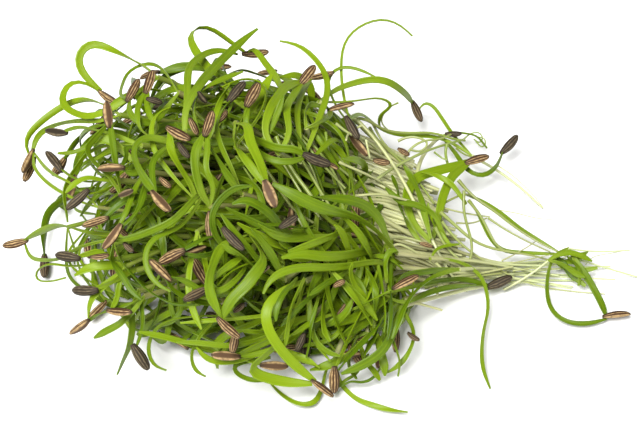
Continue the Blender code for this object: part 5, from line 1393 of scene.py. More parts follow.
# Thin strands that make a loose web on the right: width in millimetres, height above the surface,
# how pale they are at both ends, and picture points
WEB_STRANDS = (
    (0.8, 3.0, 0.6, 1.6, ((352, 113), (364, 124), (385, 152), (404, 182), (420, 210), (434, 236),
     (448, 264), (460, 283), (477, 300))),
    (0.7, 2.0, 0.5, 0.1, ((376, 180), (390, 170), (406, 161), (424, 152), (444, 145), (462, 140))),
    (0.7, 1.5, 0.2, 0.1, ((350, 119), (358, 115), (370, 120), (382, 129), (398, 133), (416, 134),
     (434, 134), (450, 140), (466, 141))),
    (0.4, 1.0, 0.1, 0.3, ((398, 103), (388, 108), (381, 117), (380, 125), (385, 131))),
    (0.6, 0.5, 0.5, 0.3, ((372, 122), (382, 142), (394, 156), (404, 164))),
    (0.6, 1.0, 0.6, 0.3, ((404, 158), (412, 148), (424, 142), (438, 141), (450, 136))),
    (0.6, 0.5, 0.5, 0.5, ((398, 141), (408, 137), (420, 138), (428, 144), (420, 152), (410, 150))),
    (0.8, 0.5, 0.1, 0.1, ((447, 145), (446, 153), (448, 162), (452, 170))),
    (0.5, 0.5, 0.1, 0.2, ((434, 152), (442, 158), (447, 160))),
    (0.5, 0.5, 0.1, 0.2, ((456, 148), (464, 154), (476, 158), (488, 158))),
    (0.5, 0.0, 0.2, 0.1, ((464, 139), (470, 134), (478, 132), (483, 137), (480, 143), (474, 139))),
    (0.5, 0.5, 0.1, 0.2, ((476, 141), (482, 147), (486, 143), (484, 138), (478, 137))),
    (0.4, 0.0, 0.9, 1.0, ((498, 163), (510, 172), (522, 183), (534, 196), (543, 208))),
    (0.9, 1.5, 0.1, 0.3, ((458, 180), (468, 192), (480, 202), (494, 211), (510, 224), (528, 237),
     (546, 248), (556, 253))),
    (0.8, 1.0, 0.1, 0.2, ((464, 190), (463, 208), (466, 226), (470, 242), (470, 256), (466, 268))),
    (0.9, 0.5, 0.1, 0.4, ((468, 200), (480, 216), (488, 231), (496, 245), (506, 252))),
    (0.9, 0.5, 0.3, 0.5, ((440, 212), (456, 226), (472, 240), (490, 248), (512, 252), (534, 254),
     (556, 256))),
    (0.7, 0.0, 0.3, 0.9, ((440, 220), (450, 233), (466, 247), (480, 257), (496, 266), (514, 275),
     (534, 281), (562, 287), (606, 294))),
    (0.7, 1.0, 0.3, 0.5, ((434, 226), (444, 242), (456, 254), (472, 264), (484, 272))),
    (0.5, 1.0, 0.7, 0.6, ((510, 269), (530, 261), (548, 255))),
    (0.5, 2.0, 0.8, 0.8, ((506, 269), (519, 255), (536, 241))),
    (0.6, 0.5, 0.7, 0.6, ((512, 271), (534, 268), (560, 266))),
    (0.4, 0.5, 0.9, 1.0, ((498, 210), (516, 213), (536, 218), (555, 220))),
    (0.7, 1.0, 0.4, 0.6, ((488, 218), (506, 230), (528, 242), (550, 252))),
    (0.5, 0.5, 0.7, 0.5, ((444, 208), (460, 212), (476, 215), (490, 217))),
    (0.5, 0.0, 0.6, 0.5, ((456, 223), (472, 223), (488, 218))),
    (0.6, 0.5, 0.0, 0.1, ((444, 203), (454, 198), (464, 194), (472, 196))),
    (0.8, 0.5, 0.7, 0.8, ((440, 276), (456, 272), (472, 272), (490, 271), (512, 269))),
    (0.7, 0.0, 0.6, 0.7, ((452, 268), (470, 277), (488, 276), (506, 270))),
    (0.7, 0.5, 0.2, 0.4, ((424, 291), (444, 286), (462, 282), (482, 278), (500, 276))),
    (0.7, 0.5, 0.8, 1.0, ((436, 262), (444, 272), (440, 284), (438, 294))),
    (0.6, 0.5, 0.9, 1.0, ((404, 300), (420, 304), (442, 310))),
    (0.6, 1.5, 0.2, 0.2, ((370, 128), (376, 140), (390, 156), (408, 172), (424, 190), (436, 206))),
    (0.6, 0.5, 0.3, 0.5, ((340, 106), (352, 118), (366, 134), (378, 146))),
    (0.6, 0.5, 0.5, 0.6, ((336, 122), (350, 134), (364, 142), (382, 156))),
    (0.5, 1.0, 0.7, 0.9, ((362, 128), (352, 133), (346, 140))),
    (0.5, 0.5, 0.8, 0.8, ((366, 140), (368, 150), (370, 158))),
    (0.6, 1.0, 0.8, 0.8, ((340, 156), (358, 167), (376, 178), (392, 190))),
    (0.6, 1.0, 0.8, 0.9, ((352, 196), (378, 195), (400, 200), (424, 206))),
    (0.5, 0.5, 0.8, 0.8, ((362, 226), (384, 238), (402, 236), (428, 242), (450, 246))),
    (0.6, 1.0, 0.8, 0.9, ((386, 256), (396, 246), (410, 250), (424, 258), (440, 268))),
    (0.4, 0.5, 0.4, 0.6, ((582, 264), (592, 256), (610, 253), (630, 250))),
)


def fixed_copy(bunch):
    """The settled bunch, held still, so that more sprouts can settle among it."""
    whole = Bunch()
    for place, reach in zip(bunch.places, bunch.reach):
        whole.add(place, reach, 0.0, True)
    whole.runs = dict(bunch.runs)
    return whole


def plan_inner(bunch, name, shape, turn, climb, share, widths, draw):
    """Adds an untraced sprout: two leaves from one neck that bow apart under the surface."""
    (x, y), size = shape
    outward = np.array((math.cos(turn) * math.cos(climb), math.sin(turn) * math.cos(climb), math.sin(climb)))
    surface = np.array((x, y, 0.0)) + share * outward * np.array(size)
    away = unit(surface - FAN_MIDDLE)
    away = unit(away - 0.8 * np.dot(away, outward) * outward)
    flank = unit(np.cross(outward, away))
    spin = draw.normal(0.0, HEAD_TURN)
    head = math.cos(spin) * away + math.sin(spin) * flank
    flank = unit(np.cross(outward, head))
    length = LEAF_LENGTH * draw.uniform(*INNER_LENGTHS)
    neck = surface - draw.uniform(*INNER_DEPTHS) * outward - NECK_BACK * length * head
    neck = held_in(neck, shape, share)
    neck_index = bunch.add(neck, 0.7, 0.02)
    meeting = draw.random() < MEETING_SHARE
    tip = neck + TIP_AHEAD * length * head
    tip = tip + draw.uniform(*TIP_RISES) * outward + draw.normal(0.0, TIP_STRAY) * flank
    husk_root = None
    if meeting:
        tip = held_in(tip, shape, share)
        sway = draw.normal(0.0, HUSK_SWAYS[0]) * flank + draw.normal(0.0, HUSK_SWAYS[1]) * outward
        ahead = held_in(tip + HUSK_LENGTH * unit(head + sway), shape, share)
        husk_root = bunch.add(tip, 1.0, 0.02)
        husk_end = bunch.add(tip + HUSK_LENGTH * unit(ahead - tip + 1e-6), 1.2, 0.02)
        bunch.run(name + ".husk", "husk", [husk_root, husk_end])
    for key, side in (("a", 1.0), ("b", -1.0)):
        bow = draw.uniform(*LEAF_BOWS) * length
        rise = draw.uniform(*LEAF_RISES)
        end = tip.copy()
        if not meeting:
            end = tip + side * OPEN_BOW * bow * flank - draw.uniform(*OPEN_SINKS) * outward
        knots = [end]
        for way, bowed, risen in INNER_KNOTS:
            knots.append(end + way * (neck - end) + side * bowed * bow * flank + risen * rise * outward)
        knots = [held_in(knot, shape, share) for knot in knots] + [neck]
        if meeting:
            knots[0] = tip
        steps = int(np.clip(round(route_length(knots) / LEAF_STEP), LEAST_LEAF_STEPS, MOST_LEAF_STEPS))
        route = smooth_route(knots, steps + 1)
        width = draw.uniform(*widths)
        indices = [husk_root] if meeting else []
        for k in range(len(indices), steps):
            half = leaf_breadth(k / steps, width)
            indices.append(bunch.add(route[k], 0.85 * half + 0.1, 0.02))
        indices.append(neck_index)
        bunch.run(f"{name}.{key}", "leaf", indices, width, knots)
    return neck_index


def plan_field_stem(bunch, name, neck_index, draw):
    """Adds a stem that ends at the slanting cut edge, from a neck or from inside the heap."""
    share = draw.uniform(0.0, 1.0)
    top = FIELD_TOP * math.sqrt(1.0 - (2.0 * share - 1.0) ** 2)
    course = stem_course(share)
    height = LOWEST_STEM + top * draw.random() ** 0.6
    seat = CUT_NEAR + share * (CUT_FAR - CUT_NEAR) - CUT_REACH * course
    seat[2] = height
    sway = math.radians(draw.normal(0.0, FIELD_SWAY))
    ahead = math.cos(sway) * course + math.sin(sway) * np.array((-course[1], course[0], 0.0))
    knots = [seat + draw.uniform(*FIELD_ENDS) * ahead]
    knots[0][2] = max(LOWEST_STEM, height - draw.uniform(*FIELD_DROPS))
    knots += [seat, seat - draw.uniform(*FIELD_STRAIGHT) * course + np.array((0.0, 0.0, 0.12 * height))]
    if neck_index is None:
        root = seat - draw.uniform(*FIELD_LENGTH) * course + draw.normal(0.0, FIELD_STRAY, 3)
        root[2] = max(LOWEST_STEM, 1.3 * height + 1.0)
        neck_index = bunch.add(root, 0.5, 0.02)
    knots = [bunch.places[neck_index]] + knots[::-1]
    steps = int(np.clip(round(route_length(knots) / FIELD_STEM_STEP), 4, 10))
    route = smooth_route(knots, steps + 1)
    indices = [neck_index]
    for place in route[1:]:
        place[2] = max(place[2], 0.5)
        indices.append(bunch.add(place, 0.42, 0.03))
    bunch.run(name + ".stem", "stem", indices)


def plan_single(bunch, name, width, lift, dip, points):
    """Adds one traced leaf whose inner end goes down into the heap."""
    count = len(points)
    depths = []
    for k, point in enumerate(points):
        sink = max(0.0, (k - (count - 3)) / 2.0) * dip
        depths.append(nearness_on_heap(point, lift - sink))
    depths = even_depths(depths, False)
    knots = [at_nearness(point, depth, 0.9) for point, depth in zip(points, depths)]
    knots.append(knots[-1] + 0.6 * (knots[-1] - knots[-2]) - 0.5 * dip * TO_VIEWER)
    knots[-1][2] = max(knots[-1][2], 0.9)
    steps = int(np.clip(round(route_length(knots) / LEAF_STEP), LEAST_LEAF_STEPS, MOST_LEAF_STEPS))
    route = smooth_route(knots, steps + 1)
    indices = []
    for k, place in enumerate(route):
        indices.append(bunch.add(place, 0.8 * leaf_breadth(k / steps, width) + 0.1, 0.2))
    bunch.run(name + ".a", "leaf", indices, width, knots)


def layer_of(name):
    """The layer of an untraced sprout, from the outermost on. The last number stands for the rest."""
    number = int(name[-3:]) if name.startswith("inner") else 10 ** 6
    for layer, (count, _) in enumerate(LAYERS):
        if number <= count:
            return layer
        number -= count
    return len(LAYERS)


def plan_loose_husk(bunch, name, tone, lift, near, far):
    """Adds a husk whose leaves are hidden or gone. Its run holds its tone in place of a width."""
    root = on_heap(near, lift, 1.2)
    end = at_nearness(far, nearness_on_heap(near, lift) + 0.5, 1.2)
    length = min(HUSK_LENGTH, float(np.linalg.norm(end - root)))
    indices = [bunch.add(root, 1.0, 0.2), bunch.add(root + length * unit(end - root), 1.2, 0.2)]
    bunch.run(name + ".husk", "husk", indices, tone)


def plan_patch(bunch, draw):
    """Adds the pale stems that show through a gap of the leaves."""
    for k in range(PATCH_STRANDS):
        points = []
        share = k / (PATCH_STRANDS - 1)
        for line in PATCH:
            near, far = np.array(line)
            points.append(near + share * (far - near) + draw.normal(0.0, PATCH_STRAY, 2))
        points.insert(1, 0.5 * (points[0] + points[1]) + draw.normal(0.0, 0.6 * PATCH_STRAY, 2))
        width, lift = draw.uniform(*PATCH_WIDTHS), draw.uniform(*PATCH_LIFTS)
        plan_strand(bunch, f"patch_{k + 1:02d}", width, lift, points)


def plan_strand(bunch, name, width, lift, points):
    """Adds one thin strand of the web."""
    depths = [nearness_on_heap(point, lift) for point in points]
    depths = even_depths(even_depths(depths, False), False)
    knots = [at_nearness(point, depth, 0.5) for point, depth in zip(points, depths)]
    steps = max(3, round(route_length(knots) / 5.0))
    route = smooth_route(knots, steps + 1)
    indices = [bunch.add(place, 0.5 * width + 0.05, 0.25) for place in route]
    bunch.run(name, "strand", indices, width, knots)


def plan_within():
    """The sprouts, leaves and stems between and under the modelled ones, settled among them."""
    bunch, _ = settled()
    whole = fixed_copy(bunch)
    draw = np.random.default_rng(INNER_SEED)
    necks = {}
    for name, sprout in BETWEEN.items():
        necks[name] = plan_sprout(whole, name, sprout)
    for k, (width, lift, dip, points) in enumerate(SINGLE_LEAVES):
        plan_single(whole, f"single_{k + 1:02d}", width, lift, dip, points)
    number = 0
    for count, share in LAYERS:
        for k in range(count):
            number += 1
            turn = number * GOLDEN_TURN + draw.uniform(*TURN_STRAYS)
            climb = math.asin((k + 0.5) / count * HIGHEST)
            name = f"inner_{number:03d}"
            necks[name] = plan_inner(whole, name, DENSE, turn, climb, share, LAYER_WIDTHS, draw)
    for shape, count, turns, shares, widths in EDGES:
        for k in range(count):
            number += 1
            climb = math.asin(draw.uniform(*EDGE_HEIGHTS))
            name = f"inner_{number:03d}"
            turn, share = draw.uniform(*turns), draw.uniform(*shares)
            necks[name] = plan_inner(whole, name, shape, turn, climb, share, widths, draw)
    for k, (tone, lift, near, far) in enumerate(LOOSE_HUSKS):
        plan_loose_husk(whole, f"loose_{k + 1:02d}", tone, lift, near, far)
    for name, neck_index in necks.items():
        plan_field_stem(whole, name, neck_index, draw)
    for k in range(FIELD_STEMS):
        plan_field_stem(whole, f"field_{k + 1:03d}", None, draw)
    for k, (width, lift, _, _, points) in enumerate(WEB_STRANDS):
        plan_strand(whole, f"strand_{k + 1:02d}", width, lift, points)
    plan_patch(whole, draw)
    settle(whole, *INNER_ROUNDS)
    return whole, necks


def within():
    """The inner sprouts, worked out once."""
    if "within" not in KEPT:
        KEPT["within"] = plan_within()
    return KEPT["within"]


def feed(tree, socket, value):
    """Links a socket to another, or gives it a fixed value or an opaque colour."""
    if isinstance(value, bpy.types.NodeSocket):
        tree.links.new(value, socket)
    elif isinstance(value, Color):
        socket.default_value = (*value, 1.0)
    else:
        socket.default_value = value


def maths(tree, operation, first, second=0.0):
    """The output of a Math node."""
    made = tree.nodes.new("ShaderNodeMath")
    made.operation = operation
    for socket, value in zip(made.inputs, (first, second)):
        feed(tree, socket, value)
    return made.outputs[0]


def times(tree, first, second):
    """The product of two values."""
    return maths(tree, "MULTIPLY", first, second)


def plus(tree, first, second):
    """The sum of two values."""
    return maths(tree, "ADD", first, second)


def aside_from(tree, value, middle):
    """How far a value is from a middle."""
    return maths(tree, "ABSOLUTE", maths(tree, "SUBTRACT", value, middle))


def between(tree, value, low, high, at_low=0.0, at_high=1.0):
    """The output of a Map Range node."""
    made = tree.nodes.new("ShaderNodeMapRange")
    names = ("Value", "From Min", "From Max", "To Min", "To Max")
    for name, given in zip(names, (value, low, high, at_low, at_high)):
        feed(tree, made.inputs[name], given)
    return made.outputs["Result"]


def blended(tree, share, first, second):
    """The colour output of a Mix node."""
    made = tree.nodes.new("ShaderNodeMix")
    made.data_type = "RGBA"
    feed(tree, made.inputs[0], share)
    feed(tree, made.inputs[6], first)
    feed(tree, made.inputs[7], second)
    return made.outputs[2]


def grain(tree, vector, scale, detail=2.0):
    """The output of a Noise Texture node."""
    made = tree.nodes.new("ShaderNodeTexNoise")
    tree.links.new(vector, made.inputs["Vector"])
    made.inputs["Scale"].default_value = scale
    made.inputs["Detail"].default_value = detail
    return made.outputs["Fac"]


def along_map(tree):
    """The outputs u and v of the piece's own map, the tint of each copy and the place in space."""
    layer = tree.nodes.new("ShaderNodeUVMap")
    layer.uv_map = "Along"
    parts = tree.nodes.new("ShaderNodeSeparateXYZ")
    tree.links.new(layer.outputs["UV"], parts.inputs[0])
    place = tree.nodes.new("ShaderNodeTexCoord")
    return parts.outputs[0], parts.outputs[1], own_value(tree, "tint"), place.outputs["Object"]


def own_value(tree, name):
    """The output of a value that each copy carries."""
    made = tree.nodes.new("ShaderNodeAttribute")
    made.attribute_name = name
    return made.outputs["Fac"]


def stretched(tree, u, v, tint, u_scale, v_scale):
    """A vector for streaks that run along a piece and differ from copy to copy."""
    made = tree.nodes.new("ShaderNodeCombineXYZ")
    feed(tree, made.inputs[0], times(tree, u, u_scale))
    feed(tree, made.inputs[1], times(tree, v, v_scale))
    feed(tree, made.inputs[2], times(tree, tint, 40.0))
    return made.outputs[0]


def roughen(tree, height, strength, distance):
    """Links a bump to the material's shader."""
    made = tree.nodes.new("ShaderNodeBump")
    made.inputs["Strength"].default_value = strength
    made.inputs["Distance"].default_value = distance
    tree.links.new(height, made.inputs["Height"])
    tree.links.new(made.outputs[0], tree.nodes["Principled BSDF"].inputs["Normal"])


def soften(shader, weight, radius):
    """Lets some light through a thin green piece."""
    shader.inputs["Subsurface Weight"].default_value = weight
    shader.inputs["Subsurface Radius"].default_value = radius
    shader.inputs["Subsurface Scale"].default_value = 0.0006


def coat(tree, shader, colour, roughness):
    """Links a material's colour and roughness."""
    tree.links.new(colour, shader.inputs["Base Color"])
    tree.links.new(roughness, shader.inputs["Roughness"])


def blank(name):
    """A new material with its node tree and shader."""
    made = bpy.data.materials.new(name)
    made.use_nodes = True
    return made, made.node_tree, made.node_tree.nodes["Principled BSDF"]


def leaf_surface(colours):
    """Fresh green leaf: fine veins along it, a paler base and a soft gloss."""
    made, tree, shader = blank("seed leaf")
    u, v, tint, place = along_map(tree)
    patches = grain(tree, place, 90.0, 3.0)
    streaks = grain(tree, stretched(tree, u, v, tint, 5.0, 16.0), 1.0)
    shift = plus(tree, times(tree, tint, 0.8), times(tree, patches, 0.35))
    green = blended(tree, between(tree, shift, 0.15, 0.95), colours.leaf_deep, colours.leaf_bright)
    veins = between(tree, streaks, 0.35, 0.65)
    green = blended(tree, times(tree, veins, 0.22), green, colours.leaf_vein)
    rib = between(tree, aside_from(tree, v, 0.5), 0.0, 0.09, 0.30, 0.0)
    green = blended(tree, rib, green, colours.leaf_vein)
    base = between(tree, u, 0.62, 1.0, 0.0, 0.75)
    green = blended(tree, base, green, colours.leaf_base)
    coat(tree, shader, green, between(tree, patches, 0.3, 0.7, 0.34, 0.50))
    shader.inputs["Specular IOR Level"].default_value = 0.2
    soften(shader, 0.12, (0.5, 1.0, 0.15))
    roughen(tree, streaks, 0.35, 0.00012)
    return made


def stem_surface(colours):
    """Tender stem: green among the leaves, almost white towards the cut, with fine lengthwise lines and warm
    darker patches, partly painted shade.
    """
    made, tree, shader = blank("tender stem")
    u, v, tint, place = along_map(tree)
    lines = grain(tree, stretched(tree, u, v, tint, 3.0, 9.0), 1.0)
    patches = grain(tree, place, 70.0)
    fade = own_value(tree, "pale")
    colour = blended(tree, fade, colours.stem_green, colours.stem_pale)
    # Warm darker patches: tone that differs at random, and on inner stems low in the stack painted shade
    # carried by their tint
    warmth_and_painted_shade = between(tree, plus(tree, times(tree, tint, 0.7), patches), 0.5, 1.2, 0.0, 0.9)
    colour = blended(tree, warmth_and_painted_shade, colour, colours.stem_warm_and_painted_shade)
    colour = blended(tree, between(tree, lines, 0.3, 0.7, 0.0, 0.25), colour, colours.stem_green)
    white = between(tree, fade, 1.0, 2.0, 0.0, 0.9)
    colour = blended(tree, white, colour, colours.stem_end)
    coat(tree, shader, colour, between(tree, lines, 0.3, 0.7, 0.25, 0.42))
    soften(shader, 0.25, (1.0, 1.0, 0.6))
    roughen(tree, lines, 0.25, 0.0001)
    return made


def husk_surface(colours):
    """Dry seed husk: pale ribs over brown furrows, a plain face with a pale rim, some dark all over."""
    made, tree, shader = blank("seed husk")
    u, v, tint, place = along_map(tree)
    wobble = grain(tree, stretched(tree, u, v, tint, 4.0, 6.0), 1.0)
    round_turn = plus(tree, times(tree, v, 0.5 * HUSK_POINTS), times(tree, wobble, 0.5))
    ribs = between(tree, maths(tree, "COSINE", times(tree, round_turn, 2.0 * math.pi)), -0.1, 0.6)
    off_face = aside_from(tree, v, 0.75)
    face = between(tree, off_face, 0.13, 0.19, 1.0, 0.0)
    rim = between(tree, off_face, 0.13, 0.19)
    rim = times(tree, rim, between(tree, off_face, 0.22, 0.30, 1.0, 0.0))
    ribs = times(tree, ribs, maths(tree, "SUBTRACT", 1.0, face))
    ribs = maths(tree, "MAXIMUM", ribs, rim)
    speckle = grain(tree, place, 1300.0, 3.0)
    wear = between(tree, speckle, 0.36, 0.60, 0.35, 1.0)
    darkness = between(tree, plus(tree, tint, times(tree, speckle, 0.2)), 0.78, 0.95)
    rib = blended(tree, darkness, colours.husk_rib, colours.husk_grey)
    furrow = blended(tree, darkness, colours.husk_furrow, colours.husk_dark)
    plain = blended(tree, darkness, colours.husk_face, colours.husk_dark)
    ground = blended(tree, face, furrow, plain)
    colour = blended(tree, times(tree, ribs, wear), ground, rib)
    beak = between(tree, u, 0.92, 1.0, 0.0, 0.7)
    ends = maths(tree, "MAXIMUM", beak, between(tree, u, 0.0, 0.16, 0.75, 0.0))
    colour = blended(tree, ends, colour, colours.husk_dark)
    coat(tree, shader, colour, between(tree, speckle, 0.3, 0.7, 0.5, 0.75))
    shader.inputs["Specular IOR Level"].default_value = 0.2
    height = plus(tree, times(tree, ribs, 0.7), times(tree, speckle, 0.5))
    roughen(tree, height, 0.5, 0.00015)
    return made


def floor_surface(colours):
    """Matt pale studio floor."""
    made, tree, shader = blank("studio floor")
    mottle = grain(tree, tree.nodes.new("ShaderNodeTexCoord").outputs["Object"], 25.0)
    shaded = Color([0.97 * part for part in colours.floor])
    colour = blended(tree, mottle, shaded, colours.floor)
    coat(tree, shader, colour, between(tree, mottle, 0.3, 0.7, 0.75, 0.9))
    return made


# The studio: the floor's size and rounded corners, the camera's sensor in millimetres, each light's
# name, place in metres, size and power, and the even light of the room
FLOOR_SIZE = 3.0
FLOOR_CORNER = 0.3
SENSOR_WIDTH = 36.0
LIGHTS = (
    ("key", (-0.22, -0.30, 0.78), 0.42, 14.0),
    ("fill", (0.55, -0.45, 0.40), 0.50, 1.2),
)
ROOM_LIGHT = 0.22


class CressSizes(bpy.types.PropertyGroup):
    """Sizes of the fine pieces."""

    leaf_thickness: bpy.props.FloatProperty(
        name="Leaf thickness", description="Thickness of a seed leaf at its middle",
        default=0.00055, min=0.0002, max=0.002, unit="LENGTH", precision=5,
    )
    leaf_twist: bpy.props.FloatProperty(
        name="Leaf twist", description="How far a seed leaf may turn round its own length",
        default=1.1, min=0.0, max=2.0, subtype="ANGLE",
    )
    husk_width: bpy.props.FloatProperty(
        name="Husk width", description="Width of a seed husk at its middle",
        default=0.0023, min=0.001, max=0.005, unit="LENGTH", precision=5,
    )
    stem_width: bpy.props.FloatProperty(
        name="Stem width", description="Thickness of a stem",
        default=0.00105, min=0.0005, max=0.003, unit="LENGTH", precision=5,
    )


def colour_property(name, description, default):
    """A colour that the user may change."""
    return bpy.props.FloatVectorProperty(
        name=name, description=description, default=default, size=3, min=0.0, max=1.0, subtype="COLOR",
    )


class CressColours(bpy.types.PropertyGroup):
    """Colours of the leaves, husks, stems and floor."""

    leaf_bright: colour_property("Bright leaf", "Colour of the brightest leaves", (0.180, 0.268, 0.004))
    # The deep leaf colour is also what the deeper inner layers lean to, as painted shade
    leaf_deep: colour_property("Deep leaf", "Colour of the darkest leaves", (0.046, 0.095, 0.001))
    leaf_vein: colour_property("Leaf vein", "Colour of the fine lines along a leaf", (0.215, 0.315, 0.008))
    leaf_base: colour_property("Leaf base", "Colour of a leaf where it joins its stem", (0.235, 0.320, 0.030))
    stem_green: colour_property("Upper stem", "Colour of a stem under its leaves", (0.165, 0.245, 0.012))
    stem_pale: colour_property("Pale stem", "Colour of a stem towards its cut end", (0.560, 0.560, 0.290))
    stem_warm_and_painted_shade: colour_property("Stem shade", "Warmer colour in patches on the stems", (0.230, 0.200, 0.080))
    # The warm dark stem colour: random patches, and painted shade on inner stems low in the stack
    stem_end: colour_property("Stem end", "Colour of the thin ends", (0.520, 0.580, 0.300))
    husk_rib: colour_property("Husk rib", "Colour of the raised ribs of a husk", (0.450, 0.305, 0.140))
    husk_furrow: colour_property("Husk furrow", "Colour between the ribs of a husk", (0.060, 0.028, 0.012))
    husk_face: colour_property("Husk face", "Colour of the flat face of a husk", (0.095, 0.052, 0.026))
    husk_grey: colour_property("Dark husk rib", "Colour of the ribs of a dark husk", (0.140, 0.108, 0.062))
    husk_dark: colour_property("Dark husk", "Colour of a dark husk", (0.030, 0.022, 0.013))
    floor: colour_property("Floor", "Colour of the studio floor", (0.90, 0.90, 0.89))


# What several operators use, worked out once
KEPT = {}


def masters():
    """The pieces that are modelled once and copied."""
    if "masters" not in KEPT:
        colours = bpy.context.scene.cress_colours
        KEPT["masters"] = {
            "leaf": leaf_master(leaf_surface(colours)),
            "husk": husk_master(husk_surface(colours)),
            "stem": stem_master(stem_surface(colours)),
        }
    return KEPT["masters"]


def settled():
    """The settled sprouts and the necks whose stems are gathered, worked out once."""
    if "bunch" not in KEPT:
        KEPT["bunch"] = plan_bunch()
    return KEPT["bunch"]


def stem_radius():
    """Half the thickness of a stem, in millimetres."""
    return 0.5 * bpy.context.scene.cress_sizes.stem_width / MM


def seated(places, axis):
    """A leaf's chain with its ends inside its neck and its husk, and how wide its tip is."""
    places[-1] = places[-1] + NECK_OVERLAP * unit(places[-1] - places[-2])
    if axis is None:
        return places, FREE_TIP
    aside = places[1] - places[0]
    aside = unit(aside - np.dot(aside, axis) * axis)
    places[0] = places[0] + HUSK_OVERLAP * axis + HUSK_TIP_OFFSET * aside
    return places, HELD_TIP


def dress_husk(name, key, places, tone, draw, darkest):
    """The fine husk of a sprout. Its tone comes from its run, from HUSK_TONES or from a draw."""
    length = float(np.linalg.norm(places[1] - places[0]))
    slim = min(1.0, SLIMMEST + (1.0 - SLIMMEST) * length / HUSK_LENGTH)
    width = slim * bpy.context.scene.cress_sizes.husk_width / MM * draw.uniform(*HUSK_WIDTHS)
    bow = draw.uniform(*HUSK_BOWS)
    spin = draw.uniform(-HUSK_TURN, HUSK_TURN) + (0.0 if draw.random() < FACE_SHARE else math.pi)
    if name in FACES_UP:
        spin = draw.normal(0.0, FACE_TURN)
    elif name in RIBS_UP:
        spin = math.pi
    tone = tone or HUSK_TONES.get(name) or draw.uniform(0.0, darkest)
    return fine_husk(masters()["husk"], key, places[0], places[1], width, bow, spin, tone)


def dress_sprout(bunch, name, draw, loose, brightest=1.0):
    """The fine leaves and husks of one sprout, and the stem of a loose one."""
    sizes = bpy.context.scene.cress_sizes
    thickness = sizes.leaf_thickness / MM
    looks = LOOSE_LOOKS if loose else HEAPED_LOOKS
    tint = draw.uniform(0.0, brightest)
    mine = {key: run for key, run in bunch.runs.items() if key.startswith(name + ".")}
    husk_axes = {}
    for key, run in mine.items():
        if run["kind"] == "husk":
            places = chain(bunch, key)
            husk_axes[run["indices"][0]] = unit(places[1] - places[0])
    made = []
    for count, (key, run) in enumerate(mine.items()):
        places = chain(bunch, key)
        if run["kind"] == "leaf":
            places, tip_share = seated(places, husk_axes.get(run["indices"][0]))
            roll = LEAF_ROLL * (-1) ** count + draw.normal(0.0, looks["roll"])
            twist = draw.uniform(-1.0, 1.0) * sizes.leaf_twist * looks["twist"]
            phase = draw.uniform(0.0, 2.0)
            if name in UNTWISTED:
                roll, twist = TWIST_LEFT * roll, TWIST_LEFT * twist
            shade = LEAF_TINTS.get(name, tint) + draw.uniform(-TINT_SPREAD, TINT_SPREAD)
            # brightest caps each leaf's tint; for the deeper inner layers this cap is painted shade
            shade = float(np.clip(shade, 0.0, brightest))
            made.append(fine_leaf(
                masters()["leaf"], key, places, run, roll, twist, phase, thickness, shade, tip_share,
            ))
        elif run["kind"] == "husk":
            made.append(dress_husk(name, key, places, run["width"], draw, looks["darkest"]))
        elif loose:
            tone = draw.uniform(0.0, 1.0)
            made.append(fine_stem(masters()["stem"], key, stem_route(places), stem_radius(), tone))
    return made


def ride(piece, slot, *nodes):
    """Ties a finished piece to the frame."""
    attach(piece, "root")
    if nodes:
        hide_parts(*nodes)


class CRESS_OT_sprouts(bpy.types.Operator):
    """Makes the fine leaves and husks of each modelled sprout"""

    bl_idname = "cress.sprouts"
    bl_label = "Sprouts"

    def execute(self, context):
        bunch, necks = settled()
        names = list(SPROUTS) + [name for name in necks if name.startswith("back_")]
        for number, name in enumerate(names):
            draw = np.random.default_rng((LOOK_SEED, number))
            piece = joined("fine_" + name, dress_sprout(bunch, name, draw, name not in necks))
            ride(piece, "leaf", name)
        return {"FINISHED"}


class CRESS_OT_stems(bpy.types.Operator):
    """Makes the gathered stems"""

    bl_idname = "cress.stems"
    bl_label = "Gathered stems"

    def execute(self, context):
        bunch, necks = settled()
        draw = np.random.default_rng(LOOK_SEED + 1)
        made = []
        for name in necks:
            route = stem_route(chain(bunch, name + ".stem"))
            made.append(fine_stem(masters()["stem"], name, route, stem_radius(), draw.uniform(0.0, 1.0)))
        ride(joined("fine_stems", made), "stem", "stem_bundle")
        return {"FINISHED"}


def inner_leaves(whole, necks, draw):
    """The sprouts, single leaves and loose husks inside the heap, a group of them in each piece."""
    names = list(necks) + [f"single_{k + 1:02d}" for k in range(len(SINGLE_LEAVES))]
    names += [f"loose_{k + 1:02d}" for k in range(len(LOOSE_HUSKS))]
    for start in range(0, len(names), INNER_GROUP):
        made = []
        for name in names[start:start + INNER_GROUP]:
            # The brightest tint of each deeper layer is lower: painted shade inside the heap
            made += dress_sprout(whole, name, draw, False, PAINTED_SHADE_BRIGHTEST[layer_of(name)])
        ride(joined(f"inner_sprouts_{start // INNER_GROUP + 1:02d}", made), "leaf")


def inner_stems(whole, draw):
    """The stems inside the heap, tinted darker and warmer where they lie low: painted shade under the stems
    above.
    """
    made = []
    for key, run in whole.runs.items():
        if run["kind"] == "stem" and key not in settled()[0].runs:
            route = stem_route(chain(whole, key))
            size = stem_radius() * draw.uniform(*INNER_STEM_SIZES)
            # Stems low in the stack get a darker, warmer tint: painted shade under the stems above
            deep = 1.0 - min(1.0, route[-5, 2] / FIELD_TOP)
            tint = LOW_STEM_PAINTED_SHADE * deep + draw.uniform(*INNER_STEM_TINTS)
            made.append(fine_stem(masters()["stem"], key, route, size, tint))
    ride(joined("inner_stems", made), "stem")


